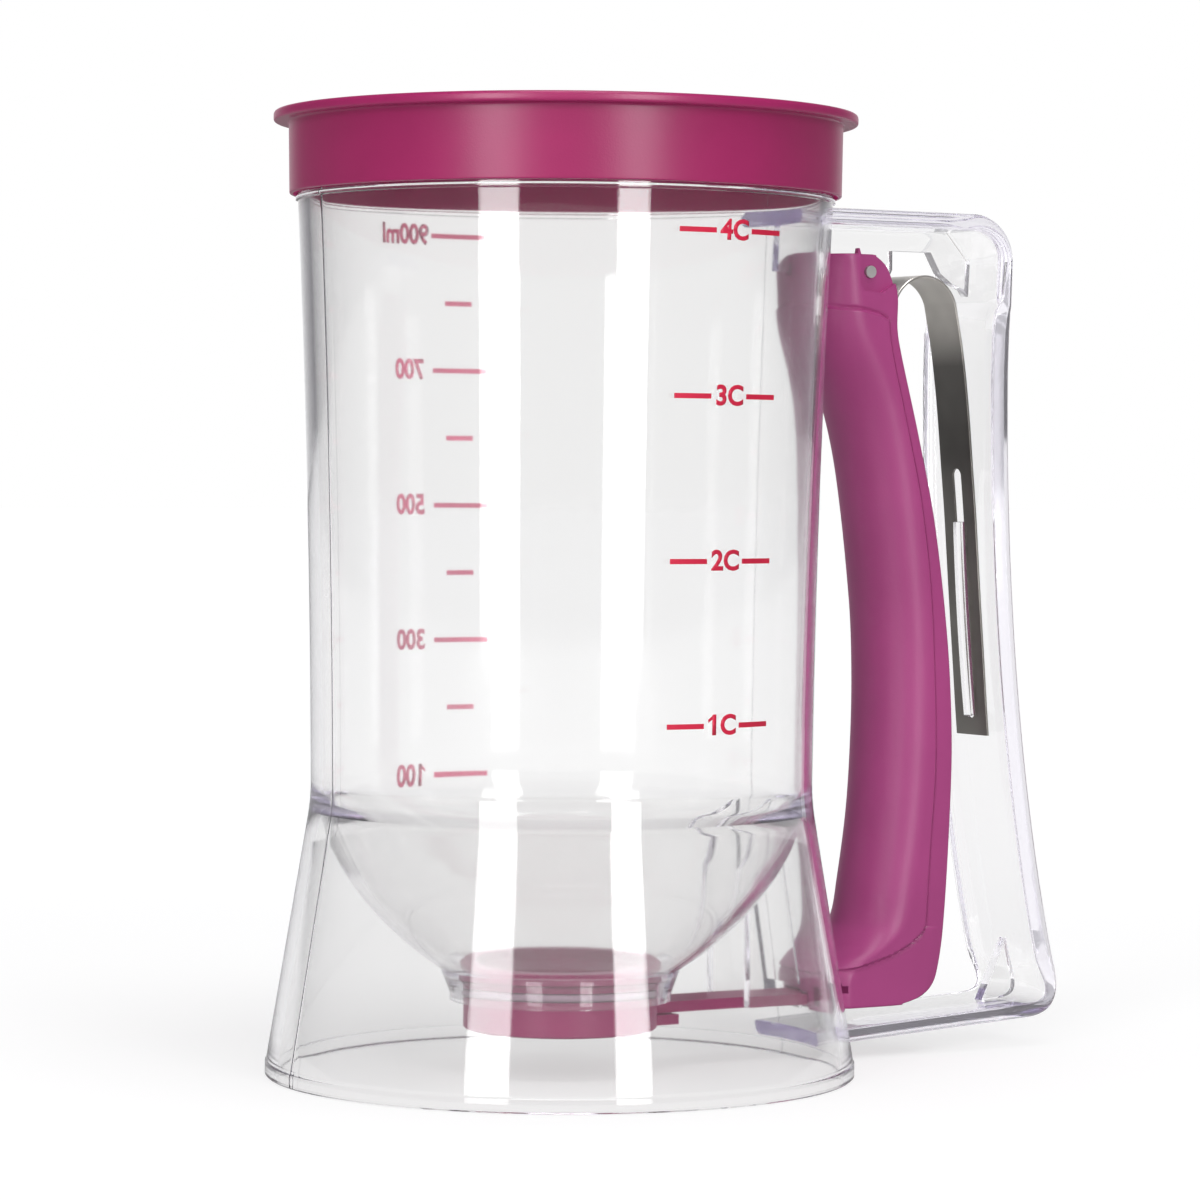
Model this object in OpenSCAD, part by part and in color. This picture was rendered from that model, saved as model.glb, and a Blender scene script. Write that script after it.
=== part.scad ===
// Pancake batter dispenser: a clear vessel with a funnel floor stands on its own skirt.
// A sprung trigger inside the D-shaped handle pulls a shutter from under the outlet.
// Origin: vessel axis on the table. +X points to the handle, +Z is up. Millimetres.

/* [Vessel] */
// Outer radius of the foot
foot_r = 58.9; // [57:0.1:62]
// Height of the straight foot band
foot_h = 2.7; // [1.5:0.1:4]
// How far the foot band stands in front of the skirt
foot_step = 0.2; // [0.1:0.1:0.5]
// Outer radius at the waist, where skirt and barrel meet
waist_r = 50.05; // [48:0.05:51]
// Height of the waist
waist_z = 58.5; // [56:0.5:64]
// Radius of the bend at the waist, seen from the side
waist_bend_r = 45; // [30:1:60]
// Outer radius of the straight lid seat
seat_r = 53.2; // [51.5:0.05:54]
// How far the straight lid seat starts below the lid's band
seat_lead = 1.45; // [0.5:0.05:3]
// How far the barrel's side hangs in from a straight line
barrel_sag = 0.57; // [0:0.01:1]
// Height of the vessel's rim
rim_z = 189.2; // [186:0.1:196]
// Wall thickness of the clear moulding
wall = 2.2; // [1.8:0.1:2.8]
// Height at which the funnel floor leaves the skirt
bowl_z = 50; // [46:0.5:51]
// Radius that the funnel's side curve heads for
bowl_mid_r = 40.6; // [38:0.1:42]
// Height that the funnel's side curve heads for
bowl_mid_z = 33.2; // [31:0.1:36]
// Outer radius of the outlet neck
neck_r = 22.2; // [21.8:0.1:23.5]
// Lower end of the neck
neck_z = 14.9; // [14.2:0.1:15.5]
// Height of the seat on which the valve ring's lip lies
neck_seat_z = 20; // [19.4:0.1:20.6]
// Gap between the two plates that guide the shutter's arm, and the arm
guide_gap = 0.4; // [0.2:0.1:0.8]
// Thickness of each guide plate
guide_t = 2; // [1.4:0.1:2.4]
// Distance of the guide plates' inner edge from the axis
guide_x = 40.5; // [38:0.5:44]

/* [Valve] */
// Outer radius of the valve ring
ring_r = 19.4; // [18.8:0.1:19.6]
// Underside of the valve ring
ring_z = 9.05; // [8:0.05:9.5]
// Top of the valve ring
ring_top_z = 22.6; // [22:0.1:24]
// How far the ring's snap lip stands out
ring_lip = 1; // [0.6:0.1:1.2]
// Inner radius at the ring's mouth
ring_mouth_r = 17; // [15:0.1:17.4]
// Radius of the batter outlet
outlet_r = 8; // [5:0.1:8.2]
// Underside of the shutter and its arm
shutter_z = 11.3; // [11:0.1:11.6]
// Thickness of the shutter and its arm
shutter_t = 2.2; // [1.8:0.1:2.4]
// How far the closed shutter reaches past the outlet
shutter_lap = 2; // [1.5:0.1:2.4]
// Length of the shutter's wide part in front of the outlet's middle
shutter_l = 12.5; // [11:0.5:14]
// Running gap round the shutter
shutter_gap = 0.25; // [0.15:0.05:0.4]
// Width of the shutter's arm
arm_w = 11; // [8:0.5:12]
// Middle of the hook at the arm's end, from the axis
hook_x = 61.4; // [61:0.1:61.6]
// Thickness of the hook
hook_t = 1.6; // [1.4:0.1:1.8]
// Height of the hook above the arm
hook_h = 1.5; // [1:0.1:1.8]
// Section radius of the O-ring
seal_r = 0.9; // [0.7:0.05:1.1]

/* [Lid] */
// How far the lid's plate overhangs its band
lid_lip = 3; // [1.5:0.1:5]
// Thickness of the lid's plate
lid_t = 2; // [1.6:0.1:2.8]
// Height of the lid's band, from the vessel's rim down
lid_band_h = 14.25; // [10:0.05:16]
// Wall of the lid's band
lid_wall = 1.4; // [1:0.1:2]
// Radial gap between the lid and the vessel's rim
lid_gap = 0.3; // [0.2:0.05:0.5]
// Depth of the plug ring inside the rim
plug_h = 4; // [2:0.5:8]

/* [Handle] */
// Width of the handle's strap
strap_w = 25; // [24:0.5:30]
// Gap between the handle's top face and the lid's band
strap_gap = 0.55; // [0.3:0.05:2]
// Outer face of the grip bar at its top, from the axis
grip_x = 101.7; // [101:0.1:106]
// Height at which the grip bar starts to curve outwards
grip_z = 142; // [136:1:148]
// Outer face of the grip bar at its foot, from the axis
heel_x = 115; // [113:0.5:120]
// Height of the lower corner
heel_z = 17.3; // [16:0.1:20]
// Underside of the bottom bar at the lower corner
heel_under_z = 6.1; // [5.5:0.1:6.5]
// Thickness of the top bar
top_bar_t = 3.4; // [2.8:0.1:3.8]
// Thickness of the grip bar on its middle line
grip_t = 4; // [3.6:0.1:4.2]
// How far the grip bar's edges stand above its middle
grip_lip = 1.3; // [0.6:0.1:1.5]
// Thickness of the bottom bar
base_bar_t = 3; // [2.6:0.1:3.2]
// Outer radius of the upper corner
corner_r = 10; // [8:0.5:12]
// Thickness of the web under the top bar
web_t = 2.4; // [1.8:0.1:2.8]

/* [Trigger] */
// Distance of the pivot from the axis
pivot_x = 67.1; // [66.8:0.1:67.6]
// Height of the handle's top face over the pivot
pivot_drop = 12.7; // [12:0.1:13.5]
// Radius of the pivot pin
pin_r = 1.25; // [1:0.05:1.6]
// Radial running clearance of the pin in the trigger
pin_gap = 0.05; // [0.01:0.01:0.1]
// Width of the trigger over its raised grip panel
trigger_w = 23; // [21:0.5:25]
// Wall of the trigger
trigger_wall = 2; // [1.6:0.1:2.4]
// Height of the raised grip panel over the rest
panel_h = 0.6; // [0.3:0.1:0.9]
// Running gap of the trigger at the handle's web and at the hook
trigger_gap = 0.4; // [0.3:0.05:0.6]

/* [Spring] */
// Width of the leaf spring
leaf_w = 11; // [8:0.5:13]
// Thickness of the leaf spring
leaf_t = 0.5; // [0.4:0.05:0.7]
// Width of the slot in its long leg
leaf_slot_w = 3; // [2.8:0.1:4]
// Outer radius of the spring's arch
arch_r = 8.25; // [7.5:0.05:8.6]

/* [Hidden] */
$fn = 96;

// ---- curves -------------------------------------------------------------------------------

// Point on the quadratic curve that leaves a towards b and ends at c
function bend(a, b, c, t) = a * (1 - t) * (1 - t) + b * 2 * t * (1 - t) + c * t * t;
// n + 1 points along that curve
function bend_points(a, b, c, n) = [for (i = [0:n]) bend(a, b, c, i / n)];
// The points of an arc about c, from angle a0 to a1 in n steps
function arc_points(c, r, a0, a1, n) =
    [for (i = [0:n]) let (a = a0 + (a1 - a0) * i / n) c + r * [cos(a), sin(a)]];
// A list in the opposite order
function reversed(p) = [for (i = [len(p) - 1:-1:0]) p[i]];
// 0 below a, 1 above b, smooth between
function ramp(a, b, z) = let (t = min(1, max(0, (z - a) / (b - a)))) t * t * (3 - 2 * t);
// Slope of a table of [height, value] pairs at entry i
function table_slope(p, i) =
    let (a = max(i - 1, 0), b = min(i + 1, len(p) - 1)) (p[b][1] - p[a][1]) / (p[b][0] - p[a][0]);
// Smooth curve through a table of [height, value] pairs, at height z
function smooth(p, z) =
    let (
        last = len(p) - 2,
        i = min([for (k = [0:last]) if (z <= p[k + 1][0] || k == last) k]),
        h = p[i + 1][0] - p[i][0],
        t = (z - p[i][0]) / h,
        rise = p[i + 1][1] - p[i][1],
        m0 = table_slope(p, i) * h,
        m1 = table_slope(p, i + 1) * h
    )
    p[i][1] + m0 * t + (3 * rise - 2 * m0 - m1) * t * t + (m0 + m1 - 2 * rise) * t * t * t;
// Direction of a line of points at entry i
function heading(p, i) =
    let (d = p[min(i + 1, len(p) - 1)] - p[max(i - 1, 0)]) d / norm(d);
// To the right of that direction
function rightward(p, i) = let (d = heading(p, i)) [d[1], -d[0]];

// Solid through a list of closed rings of points, each with as many points. A ring may be
// a channel: its outside followed by its inside, the other way and with as many points.
module loft(rings, channel = false) {
    n = len(rings[0]);
    last = len(rings) - 1;
    cap = channel ? [for (k = [0:n / 2 - 2]) [k, k + 1, n - 2 - k, n - 1 - k]] : [[for (k = [0:n - 1]) k]];
    polyhedron(
        points = [for (r = rings) for (p = r) p],
        faces = concat(
            [for (f = cap) reversed(f)],
            [for (i = [0:last - 1]) for (k = [0:n - 1])
                [i * n + k, i * n + (k + 1) % n, (i + 1) * n + (k + 1) % n, (i + 1) * n + k]],
            [for (f = cap) [for (k = f) last * n + k]]
        )
    );
}

// Plate of thickness t on the handle's middle plane, from an outline in X and Z
module side_plate(outline, t) {
    rotate([90, 0, 0]) linear_extrude(height = t, center = true) polygon(outline);
}

// Pin of radius r along Y through the pivot, from y0 to y1
module pivot_rod(r, y0, y1) {
    translate([pivot_x, y1, pivot_z]) rotate([90, 0, 0]) cylinder(r = r, h = y1 - y0);
}

// Block that runs from x0 to x1 and z0 to z1, with width w about the middle plane
module block(x0, x1, w, z0, z1) {
    translate([x0, -w / 2, z0]) cube([x1 - x0, w, z1 - z0]);
}

// ---- heights that follow the rim ----------------------------------------------------------

lid_band_z = rim_z - lid_band_h;
seat_z = lid_band_z - seat_lead;
strap_top_z = lid_band_z - strap_gap;
pivot_z = strap_top_z - pivot_drop;

// ---- vessel -------------------------------------------------------------------------------

// Lean of the skirt, at which its straight side runs into the waist bend
skirt_run = waist_r + waist_bend_r - foot_r + foot_step;
skirt_rise = waist_z - foot_h;
skirt_lean = atan2(skirt_rise, skirt_run) + asin(waist_bend_r / norm([skirt_run, skirt_rise])) - 90;
bend_foot_z = waist_z - waist_bend_r * sin(skirt_lean);
// Outer radius at height z, from the foot band to the waist
function side_r(z) = z > bend_foot_z
    ? waist_r + waist_bend_r * (1 - cos(asin((waist_z - z) / waist_bend_r)))
    : foot_r - foot_step - (z - foot_h) * tan(skirt_lean);

waist_steps = 6;
barrel_steps = 8;
bowl_steps = 10;
waist_side = [for (i = [0:waist_steps])
    let (z = bend_foot_z + (waist_z - bend_foot_z) * i / waist_steps) [side_r(z), z]];
barrel_mid = [(waist_r + seat_r) / 2 - 2 * barrel_sag, (waist_z + seat_z) / 2];
barrel = bend_points([waist_r, waist_z], barrel_mid, [seat_r, seat_z], barrel_steps);
// Bore of the neck round the valve ring, and the counterbore for the ring's lip
neck_gap = 0.3;
lip_gap = 0.5;
neck_bore_r = ring_r + neck_gap;
lip_r = ring_r + ring_lip;
neck_seat_r = lip_r + lip_gap;
// Underside of the funnel, from the neck to the skirt
bowl_mid = [bowl_mid_r, bowl_mid_z];
bowl = bend_points([neck_r + wall, neck_z + 1.4 * wall], bowl_mid,
    [side_r(bowl_z) - wall, bowl_z], bowl_steps);
// Inside of the funnel, from the counterbore to the barrel
floor_shift = [1, 0.6];
bowl_floor = bend_points([neck_seat_r, neck_seat_z + 1.3], bowl_mid + floor_shift,
    [waist_r - wall, waist_z], bowl_steps);
rim_round = 0.5;
neck_lip_h = 1.4;
// How far cutting bodies run past the faces they cut
over = 5;
inner_foot_r = side_r(foot_h) - wall;

vessel_outline = concat(
    [[inner_foot_r, 0], [foot_r, 0], [foot_r, foot_h], [side_r(foot_h), foot_h]],
    waist_side,
    [for (i = [1:barrel_steps]) barrel[i]],
    [[seat_r, rim_z - rim_round], [seat_r - rim_round, rim_z], [seat_r - wall, rim_z]],
    [for (i = [barrel_steps:-1:1]) barrel[i] - [wall, 0]],
    reversed(bowl_floor),
    [[neck_seat_r, neck_seat_z], [neck_bore_r, neck_seat_z], [neck_bore_r, neck_z],
     [neck_r, neck_z], [neck_r, neck_z + neck_lip_h]],
    bowl,
    [[inner_foot_r, foot_h]]
);

// Guide plates reach a little into the funnel and the skirt that carry them
guide_root = 0.6;
guide_low_z = shutter_z + 0.2;
guide_in = arm_w / 2 + guide_gap;
guide_y = guide_in + guide_t / 2;
// Underside of the funnel above the guide plates' inner edge
guide_top_z = lookup(guide_x, bowl) + guide_root;
guide_outline = concat(
    [[guide_x, guide_low_z], [side_r(guide_low_z) - wall + guide_root, guide_low_z]],
    [[side_r(bowl_z) - wall + guide_root, bowl_z]],
    [for (p = reversed(bowl)) if (p[0] > guide_x + 1 && p[1] < bowl_z - 1) p + [-guide_root, guide_root]],
    [[guide_x, guide_top_z]]
);
// Slot in the skirt through which the arm and its hook are threaded
slot_gap = 0.6;
slot_w = arm_w + 2 * slot_gap;
slot_z0 = shutter_z - slot_gap;
slot_z1 = shutter_z + shutter_t + hook_h + slot_gap;

module vessel() {
    color([0.88, 0.89, 0.91, 0.45])
    difference() {
        union() {
            rotate_extrude() polygon(vessel_outline);
            for (side = [-1, 1])
                translate([0, side * guide_y, 0]) side_plate(guide_outline, guide_t);
        }
        block(side_r(slot_z1) - wall - over, foot_r + over, slot_w, slot_z0, slot_z1);
    }
}

// ---- handle -------------------------------------------------------------------------------

// Outer face of the handle, in X and Z, from the barrel round to the skirt
corner_x = grip_x + 0.7;
heel_turn = [heel_x + 2.6, heel_under_z + 0.5];
heel_in_x = heel_x - 7;
bar_slope = 0.055;
grip_ctrl_z = heel_z + (heel_x - grip_x) * (heel_z - heel_turn[1]) / (heel_turn[0] - heel_x);
grip_top = [grip_x, grip_z];
grip_ctrl = [grip_x, grip_ctrl_z];
grip_foot = [heel_x, heel_z];
grip_steps = 12;
grip_face = bend_points(grip_top, grip_ctrl, grip_foot, grip_steps);
inside_x = 40;
strap_path = concat(
    [[inside_x, strap_top_z], [(inside_x + corner_x - corner_r) / 2, strap_top_z]],
    arc_points([corner_x - corner_r, strap_top_z - corner_r], corner_r, 90, 0, 8),
    [[corner_x - 0.2, strap_top_z - 17.4], [corner_x - 0.3, strap_top_z - 20.4],
     [corner_x - 0.45, strap_top_z - 24.4]],
    grip_face,
    [for (i = [1:7]) bend(grip_foot, heel_turn, [heel_in_x, heel_under_z], i / 7)],
    [[heel_in_x - 20, heel_under_z - 20 * bar_slope],
     [inside_x, heel_under_z - (heel_in_x - inside_x) * bar_slope]]
);
// Thickness on the middle line, and height of the edge lips, at height z
function strap_t(z) = base_bar_t
    + (grip_t - base_bar_t) * ramp(heel_under_z + 0.9, heel_under_z + 13.9, z)
    + (top_bar_t - grip_t) * ramp(strap_top_z - 14.4, strap_top_z - 3.4, z);
function strap_lip(z) = grip_lip * ramp(heel_under_z + 2.9, heel_under_z + 15.9, z)
    * (1 - ramp(strap_top_z - 21.4, strap_top_z - 18.4, z));
// Half of the section at height z as [depth from the outer face, y], outside first
edge_steps = 6;
lip_flat = 0.5;
lip_slope = 1.6;
function strap_half(z) =
    let (t = strap_t(z), edge_t = t + strap_lip(z), r = edge_t / 2, y = strap_w / 2 - r)
    concat(
        [for (i = [0:edge_steps]) let (a = 180 * i / edge_steps) [r - r * cos(a), y + r * sin(a)]],
        [[edge_t, y - lip_flat], [t, y - lip_flat - lip_slope]]
    );
function strap_ring(i) =
    let (p = strap_path[i], n = rightward(strap_path, i), half = strap_half(p[1]))
    [for (s = concat([for (q = half) q], reversed([for (q = half) [q[0], -q[1]]])))
        [p[0] + n[0] * s[0], s[1], p[1] + n[1] * s[0]]];

// Web under the top bar: it carries the pivot and clears the spring's arch
ear_r = 4.4;
web_low_z = pivot_z - 0.1;
arch_mid = [grip_x - 17.4, pivot_z - 8.3];
notch_x0 = arch_mid[0] - 5.6;
notch_x1 = arch_mid[0] + 4.2;
notch_z = strap_top_z - 7.7;
web_foot_z = pivot_z - 4.1;
web_outline = concat(
    [[inside_x, web_low_z], [pivot_x - ear_r, web_low_z]],
    arc_points([pivot_x, pivot_z], ear_r, 180, 310, 13),
    [[notch_x0 - 2.5, pivot_z - 3.3], [notch_x0 - 1.1, pivot_z - 1.1], [notch_x0, pivot_z + 1],
     [notch_x0, notch_z], [notch_x1, notch_z], [notch_x1 + 2.6, pivot_z + 0.6],
     [corner_x - 8.4, pivot_z - 1.4], [corner_x - 5.3, pivot_z - 2.6],
     [corner_x - 4.1, web_foot_z], [corner_x - grip_t + 1, web_foot_z],
     [corner_x - grip_t + 1, strap_top_z - corner_r],
     [corner_x - corner_r, strap_top_z - top_bar_t + 1], [inside_x, strap_top_z - top_bar_t + 1]]
);

// Curve parameter of the grip face at height z, and points at a depth behind the face
grip_a = grip_z - 2 * grip_ctrl_z + heel_z;
grip_b = 2 * (grip_ctrl_z - grip_z);
function grip_param(z) =
    (-grip_b - sqrt(grip_b * grip_b - 4 * grip_a * (grip_z - z))) / (2 * grip_a);
function grip_line(z0, z1, depth, n) =
    let (p = [for (i = [0:n])
        bend(grip_top, grip_ctrl, grip_foot, grip_param(z0 + (z1 - z0) * i / n))])
    [for (i = [0:n]) p[i] + depth * rightward(p, i)];
// Rib that keeps the spring's long leg in place, through its slot, and the leg's lower end
leaf_foot_z = 65.3;
rib_w = leaf_slot_w - 0.5;
rib_h = 1.7;
rib_top_z = pivot_z - 51.2;
rib_foot_z = leaf_foot_z + 4.7;
rib_outline = concat(
    grip_line(rib_top_z, rib_foot_z, grip_t - 0.6, 8),
    reversed(grip_line(rib_top_z, rib_foot_z, grip_t + rib_h, 8))
);
// Small gusset in the lower corner
gusset_outline = [[heel_x - 5.2, heel_z + 6.7], [heel_x - 12, heel_under_z + 1.7],
    [heel_x - 3, heel_under_z + 1.7], [heel_x - 2, heel_z - 1.3]];

module handle() {
    color([0.88, 0.89, 0.91, 0.45])
    difference() {
        union() {
            loft([for (i = [0:len(strap_path) - 1]) strap_ring(i)]);
            side_plate(web_outline, web_t);
            side_plate(rib_outline, rib_w);
            side_plate(gusset_outline, web_t);
        }
        rotate_extrude() polygon(concat([[0, 0], [foot_r, 0], [foot_r, foot_h]],
            [[side_r(foot_h), foot_h]], waist_side, [for (i = [1:barrel_steps]) barrel[i]],
            [[seat_r, rim_z], [0, rim_z]]));
        pivot_rod(pin_r, -web_t, web_t);
    }
}

// ---- lid ----------------------------------------------------------------------------------

lid_edge = 0.5;
lid_in_r = seat_r + lid_gap;
lid_out_r = lid_in_r + lid_wall;
lid_draft = 0.2;
lid_r = lid_out_r + lid_draft + lid_lip;
plug_r = seat_r - wall - lid_gap;
plug_t = 1.4;
plug_lead = [0.4, 1];

module lid() {
    color([0.62, 0.2, 0.4])
    rotate_extrude() polygon([
        [0, rim_z], [plug_r - plug_t, rim_z], [plug_r - plug_t, rim_z - plug_h],
        [plug_r - plug_lead[0], rim_z - plug_h], [plug_r, rim_z - plug_h + plug_lead[1]],
        [plug_r, rim_z],
        [lid_in_r, rim_z], [lid_in_r, lid_band_z], [lid_out_r, lid_band_z],
        [lid_out_r + lid_draft, rim_z], [lid_r - lid_edge, rim_z], [lid_r, rim_z + lid_edge],
        [lid_r, rim_z + lid_t - lid_edge], [lid_r - lid_edge, rim_z + lid_t], [0, rim_z + lid_t]
    ]);
}

// ---- valve --------------------------------------------------------------------------------

shutter_r = outlet_r + shutter_lap;
pocket_r = shutter_r + shutter_gap;
pocket_z0 = shutter_z - shutter_gap;
pocket_z1 = shutter_z + shutter_t + shutter_gap;
cone_z = pocket_z1 + 1.2;
mouth_z = ring_top_z - 2;
seal_z = (neck_z + neck_seat_z) / 2;
seal_gap = 0.02;
groove_r = neck_bore_r - 2 * seal_r - 2 * seal_gap;
groove_h = 2 * seal_r + 0.2;
lip_h = 1.8;
drip_r = outlet_r + 1;
tongue_x = 23.8;
tongue_w = 14;
ring_edge = 0.4;

module valve_ring() {
    color([0.62, 0.26, 0.48])
    difference() {
        union() {
            rotate_extrude() polygon([
                [drip_r, ring_z], [ring_r - ring_edge, ring_z], [ring_r, ring_z + ring_edge],
                [ring_r, seal_z - groove_h / 2], [groove_r, seal_z - groove_h / 2],
                [groove_r, seal_z + groove_h / 2], [ring_r, seal_z + groove_h / 2],
                [ring_r, neck_seat_z], [lip_r, neck_seat_z], [lip_r, neck_seat_z + lip_h],
                [ring_r, ring_top_z], [ring_mouth_r, ring_top_z], [ring_mouth_r, mouth_z],
                [outlet_r, cone_z], [outlet_r, pocket_z0], [drip_r, pocket_z0 - 0.5]
            ]);
            block(ring_r - over, tongue_x, tongue_w, ring_z, pocket_z0);
        }
        translate([0, 0, pocket_z0]) linear_extrude(height = pocket_z1 - pocket_z0) {
            circle(r = pocket_r);
            translate([0, -pocket_r]) square([tongue_x + over, 2 * pocket_r]);
        }
    }
}

module outlet_seal() {
    color([0.85, 0.85, 0.86])
    rotate_extrude() translate([neck_bore_r - seal_gap - seal_r, seal_z]) circle(r = seal_r);
}

hook_x0 = hook_x - hook_t / 2;
hook_x1 = hook_x + hook_t / 2;
hook_top_z = shutter_z + shutter_t + hook_h;
shoulder_l = 4.5;

module valve_slide() {
    color([0.62, 0.26, 0.48]) {
        translate([0, 0, shutter_z]) linear_extrude(height = shutter_t) {
            circle(r = shutter_r);
            polygon([
                [0, -shutter_r], [shutter_l, -shutter_r], [shutter_l + shoulder_l, -arm_w / 2],
                [hook_x1, -arm_w / 2], [hook_x1, arm_w / 2], [shutter_l + shoulder_l, arm_w / 2],
                [shutter_l, shutter_r], [0, shutter_r]
            ]);
        }
        block(hook_x0, hook_x1, arm_w, shutter_z, hook_top_z);
    }
}

// ---- trigger ------------------------------------------------------------------------------

trigger_low_z = shutter_z - 1;
trigger_top_z = pivot_z + 3.6;
// The channel opens above the nose's floor and closes below the head's roof
nose_floor_z = shutter_z + 1.7;
nose_top_z = shutter_z + 6.2;
nose_x = 50;
head_z = pivot_z - 8.7;
head_roof_z = pivot_z + 0.6;
head_x = 50;
panel_top_z = head_z - 1.4;
// Front of the trigger, its back edge, and the depth of its rounded front, by height
front_table = [[trigger_low_z, 58.2], [13, 58.1], [nose_top_z, 58.3], [20, 60.4], [23, 64.6], [27, 68],
    [35, 69.7], [50, 71.9], [66, 72.9], [80, 73], [94, 72.2], [pivot_z - 41.7, 68.6],
    [pivot_z - 27.7, 65], [pivot_z - 19.7, 61.2], [pivot_z - 13.7, 58.4], [head_z, 57.2],
    [trigger_top_z, 56.8]];
back_table = [[trigger_low_z, 73], [11.5, 78.2], [13.5, 81.6], [17, 83.8], [27, 86.2], [52, 88.1],
    [66, 88.3], [85, 87.1], [pivot_z - 51.7, 83.5], [pivot_z - 33.3, 79.1], [pivot_z - 16.7, 74.6],
    [pivot_z - 11.7, 73.6], [pivot_z - 4.7, 73.6], [pivot_z - 1.2, 72.6], [pivot_z + 1.7, 70.9],
    [trigger_top_z, 68.2]];
round_table = [[trigger_low_z, 5], [17, 5.5], [27, 8.5], [40, 9], [pivot_z - 21.7, 9], [head_z, 8],
    [trigger_top_z, 6]];
// Edge between the raised grip panel and the strip behind it
step_table = [[trigger_low_z, 69], [19.7, 75], [24, 80.4], [27.5, 81.3], [42.5, 82.3], [61, 83.5],
    [pivot_z - 76.5, 82.7], [pivot_z - 61.7, 81.5], [pivot_z - 46.7, 79.2], [pivot_z - 39.7, 77.6],
    [pivot_z - 27.1, 74.4], [pivot_z - 16.7, 71.7], [pivot_z - 10.4, 70.4], [trigger_top_z, 64.6]];
// How far the grip panel is raised at height z: 0 or 1 apart from its ends
function panel(z) = ramp(21.5, 23.5, z) * (1 - ramp(panel_top_z, head_z, z));
strip_y = trigger_w / 2 - panel_h;
front_steps = 6;
step_run = 0.5;
nose_back_x = hook_x1 + trigger_gap + 2.2;
trigger_z1 = 50;
trigger_z2 = pivot_z - 41.7;
trigger_z = concat(
    [nose_top_z, 19, 21.5, 23.5, 27, 33, 40, trigger_z1],
    [for (i = [1:7]) trigger_z1 + (trigger_z2 - trigger_z1) * i / 7],
    [pivot_z - 33.7, pivot_z - 27.7, pivot_z - 22.7, pivot_z - 17.7, pivot_z - 13.7, panel_top_z, head_z]
);

// Outside of the trigger at height z as [x, y], from the middle of its front to its back edge
function trigger_half(z) =
    let (
        panel_y = strip_y + panel_h * panel(z),
        front = smooth(front_table, z) + 0.5 * panel_h * (1 - panel(z)),
        depth = smooth(round_table, z),
        back = smooth(back_table, z),
        step_x = max(min(smooth(step_table, z), back - 2 * step_run), front + depth + 0.1)
    )
    concat(
        [for (i = [0:front_steps]) let (a = 90 * i / front_steps)
            [front + depth * (1 - cos(a)), panel_y * sin(a)]],
        [[step_x, panel_y], [step_x + step_run, strip_y], [back, strip_y]]
    );
// Channel inside it at height z
function channel_half(z) =
    let (
        front = max(smooth(front_table, z) + trigger_wall, nose_back_x),
        depth = smooth(round_table, z) - 0.5 * trigger_wall,
        side = front + depth,
        back = smooth(back_table, z)
    )
    concat(
        [for (i = [0:front_steps]) let (a = 90 * i / front_steps)
            [front + depth * (1 - cos(a)), (strip_y - trigger_wall) * sin(a)]],
        [for (i = [1:3]) [side + (back - side) * i / 3, strip_y - trigger_wall]]
    );
// A half outline and its mirror image in the middle plane, as one line from the far back edge
function both_sides(half) =
    concat([for (q = reversed(half)) [q[0], -q[1]]], [for (i = [1:len(half) - 1]) half[i]]);
// U-shaped ring of points at height z
function trigger_ring(z) =
    [for (q = concat(both_sides(trigger_half(z)), reversed(both_sides(channel_half(z))))) [q[0], q[1], z]];

// Nose and head continue the lofted middle straight down and up, inside their side outlines
nose_outline = concat(
    [[nose_x, trigger_low_z]],
    [for (z = [trigger_low_z, trigger_low_z + 0.6, trigger_low_z + 1.7, trigger_low_z + 3.2,
        trigger_low_z + 4.7, nose_top_z]) [smooth(back_table, z), z]],
    [[nose_x, nose_top_z]]
);
head_outline = concat(
    [[head_x, head_z]],
    [for (z = [head_z, pivot_z - 4.7, pivot_z - 1.2, pivot_z + 2.1, trigger_top_z])
        [smooth(back_table, z), z]],
    [[head_x, trigger_top_z]]
);
module trigger_end(z, outline) {
    intersection() {
        linear_extrude(height = trigger_top_z + over) polygon(both_sides(trigger_half(z)));
        side_plate(outline, trigger_w + over);
    }
}
module channel_end(z, z0, z1) {
    deep = [for (q = channel_half(z)) [q[0] == smooth(back_table, z) ? q[0] + over : q[0], q[1]]];
    translate([0, 0, z0]) linear_extrude(height = z1 - z0) polygon(both_sides(deep));
}

boss_r = 3.3;
web_slot_w = web_t + 2 * trigger_gap;
web_slot_z = web_low_z - trigger_gap - 0.3;
web_slot_x0 = pivot_x - 14;
web_slot_x1 = pivot_x + 10;
web_slot_top_z = trigger_top_z + over;
web_slot_ear = [pivot_x - ear_r - 1, pivot_z - ear_r - trigger_gap];
web_slot_outline = [[web_slot_x0, web_slot_z], [web_slot_ear[0], web_slot_z], web_slot_ear,
    [web_slot_x1, web_slot_ear[1]], [web_slot_x1, web_slot_top_z], [web_slot_x0, web_slot_top_z]];
// Flat recess round the pin's ends: its face, its front edge and its lower edge
ear_face_y = strip_y - 0.6;
ear_x = pivot_x - 2.9;
ear_z = pivot_z - 4.1;
ear_cut = [12, 4, 12];
// Stop nibs on top of the two ears
nib_t = 1.6;
nib_outline = [[ear_x - 0.9, trigger_top_z - 0.5], [ear_x + 1.3, trigger_top_z - 0.5],
    [ear_x - 0.1, trigger_top_z + 1.6], [ear_x - 0.7, trigger_top_z + 1.6]];
// Pocket round the shutter's hook, and the notch in front of it for the arm
pocket_gap = 0.45;
pocket_top_gap = 0.5;
pocket_floor_z = shutter_z + 0.1;
notch_top_z = shutter_z + shutter_t + 0.6;
boss_inset = 1;

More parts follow.
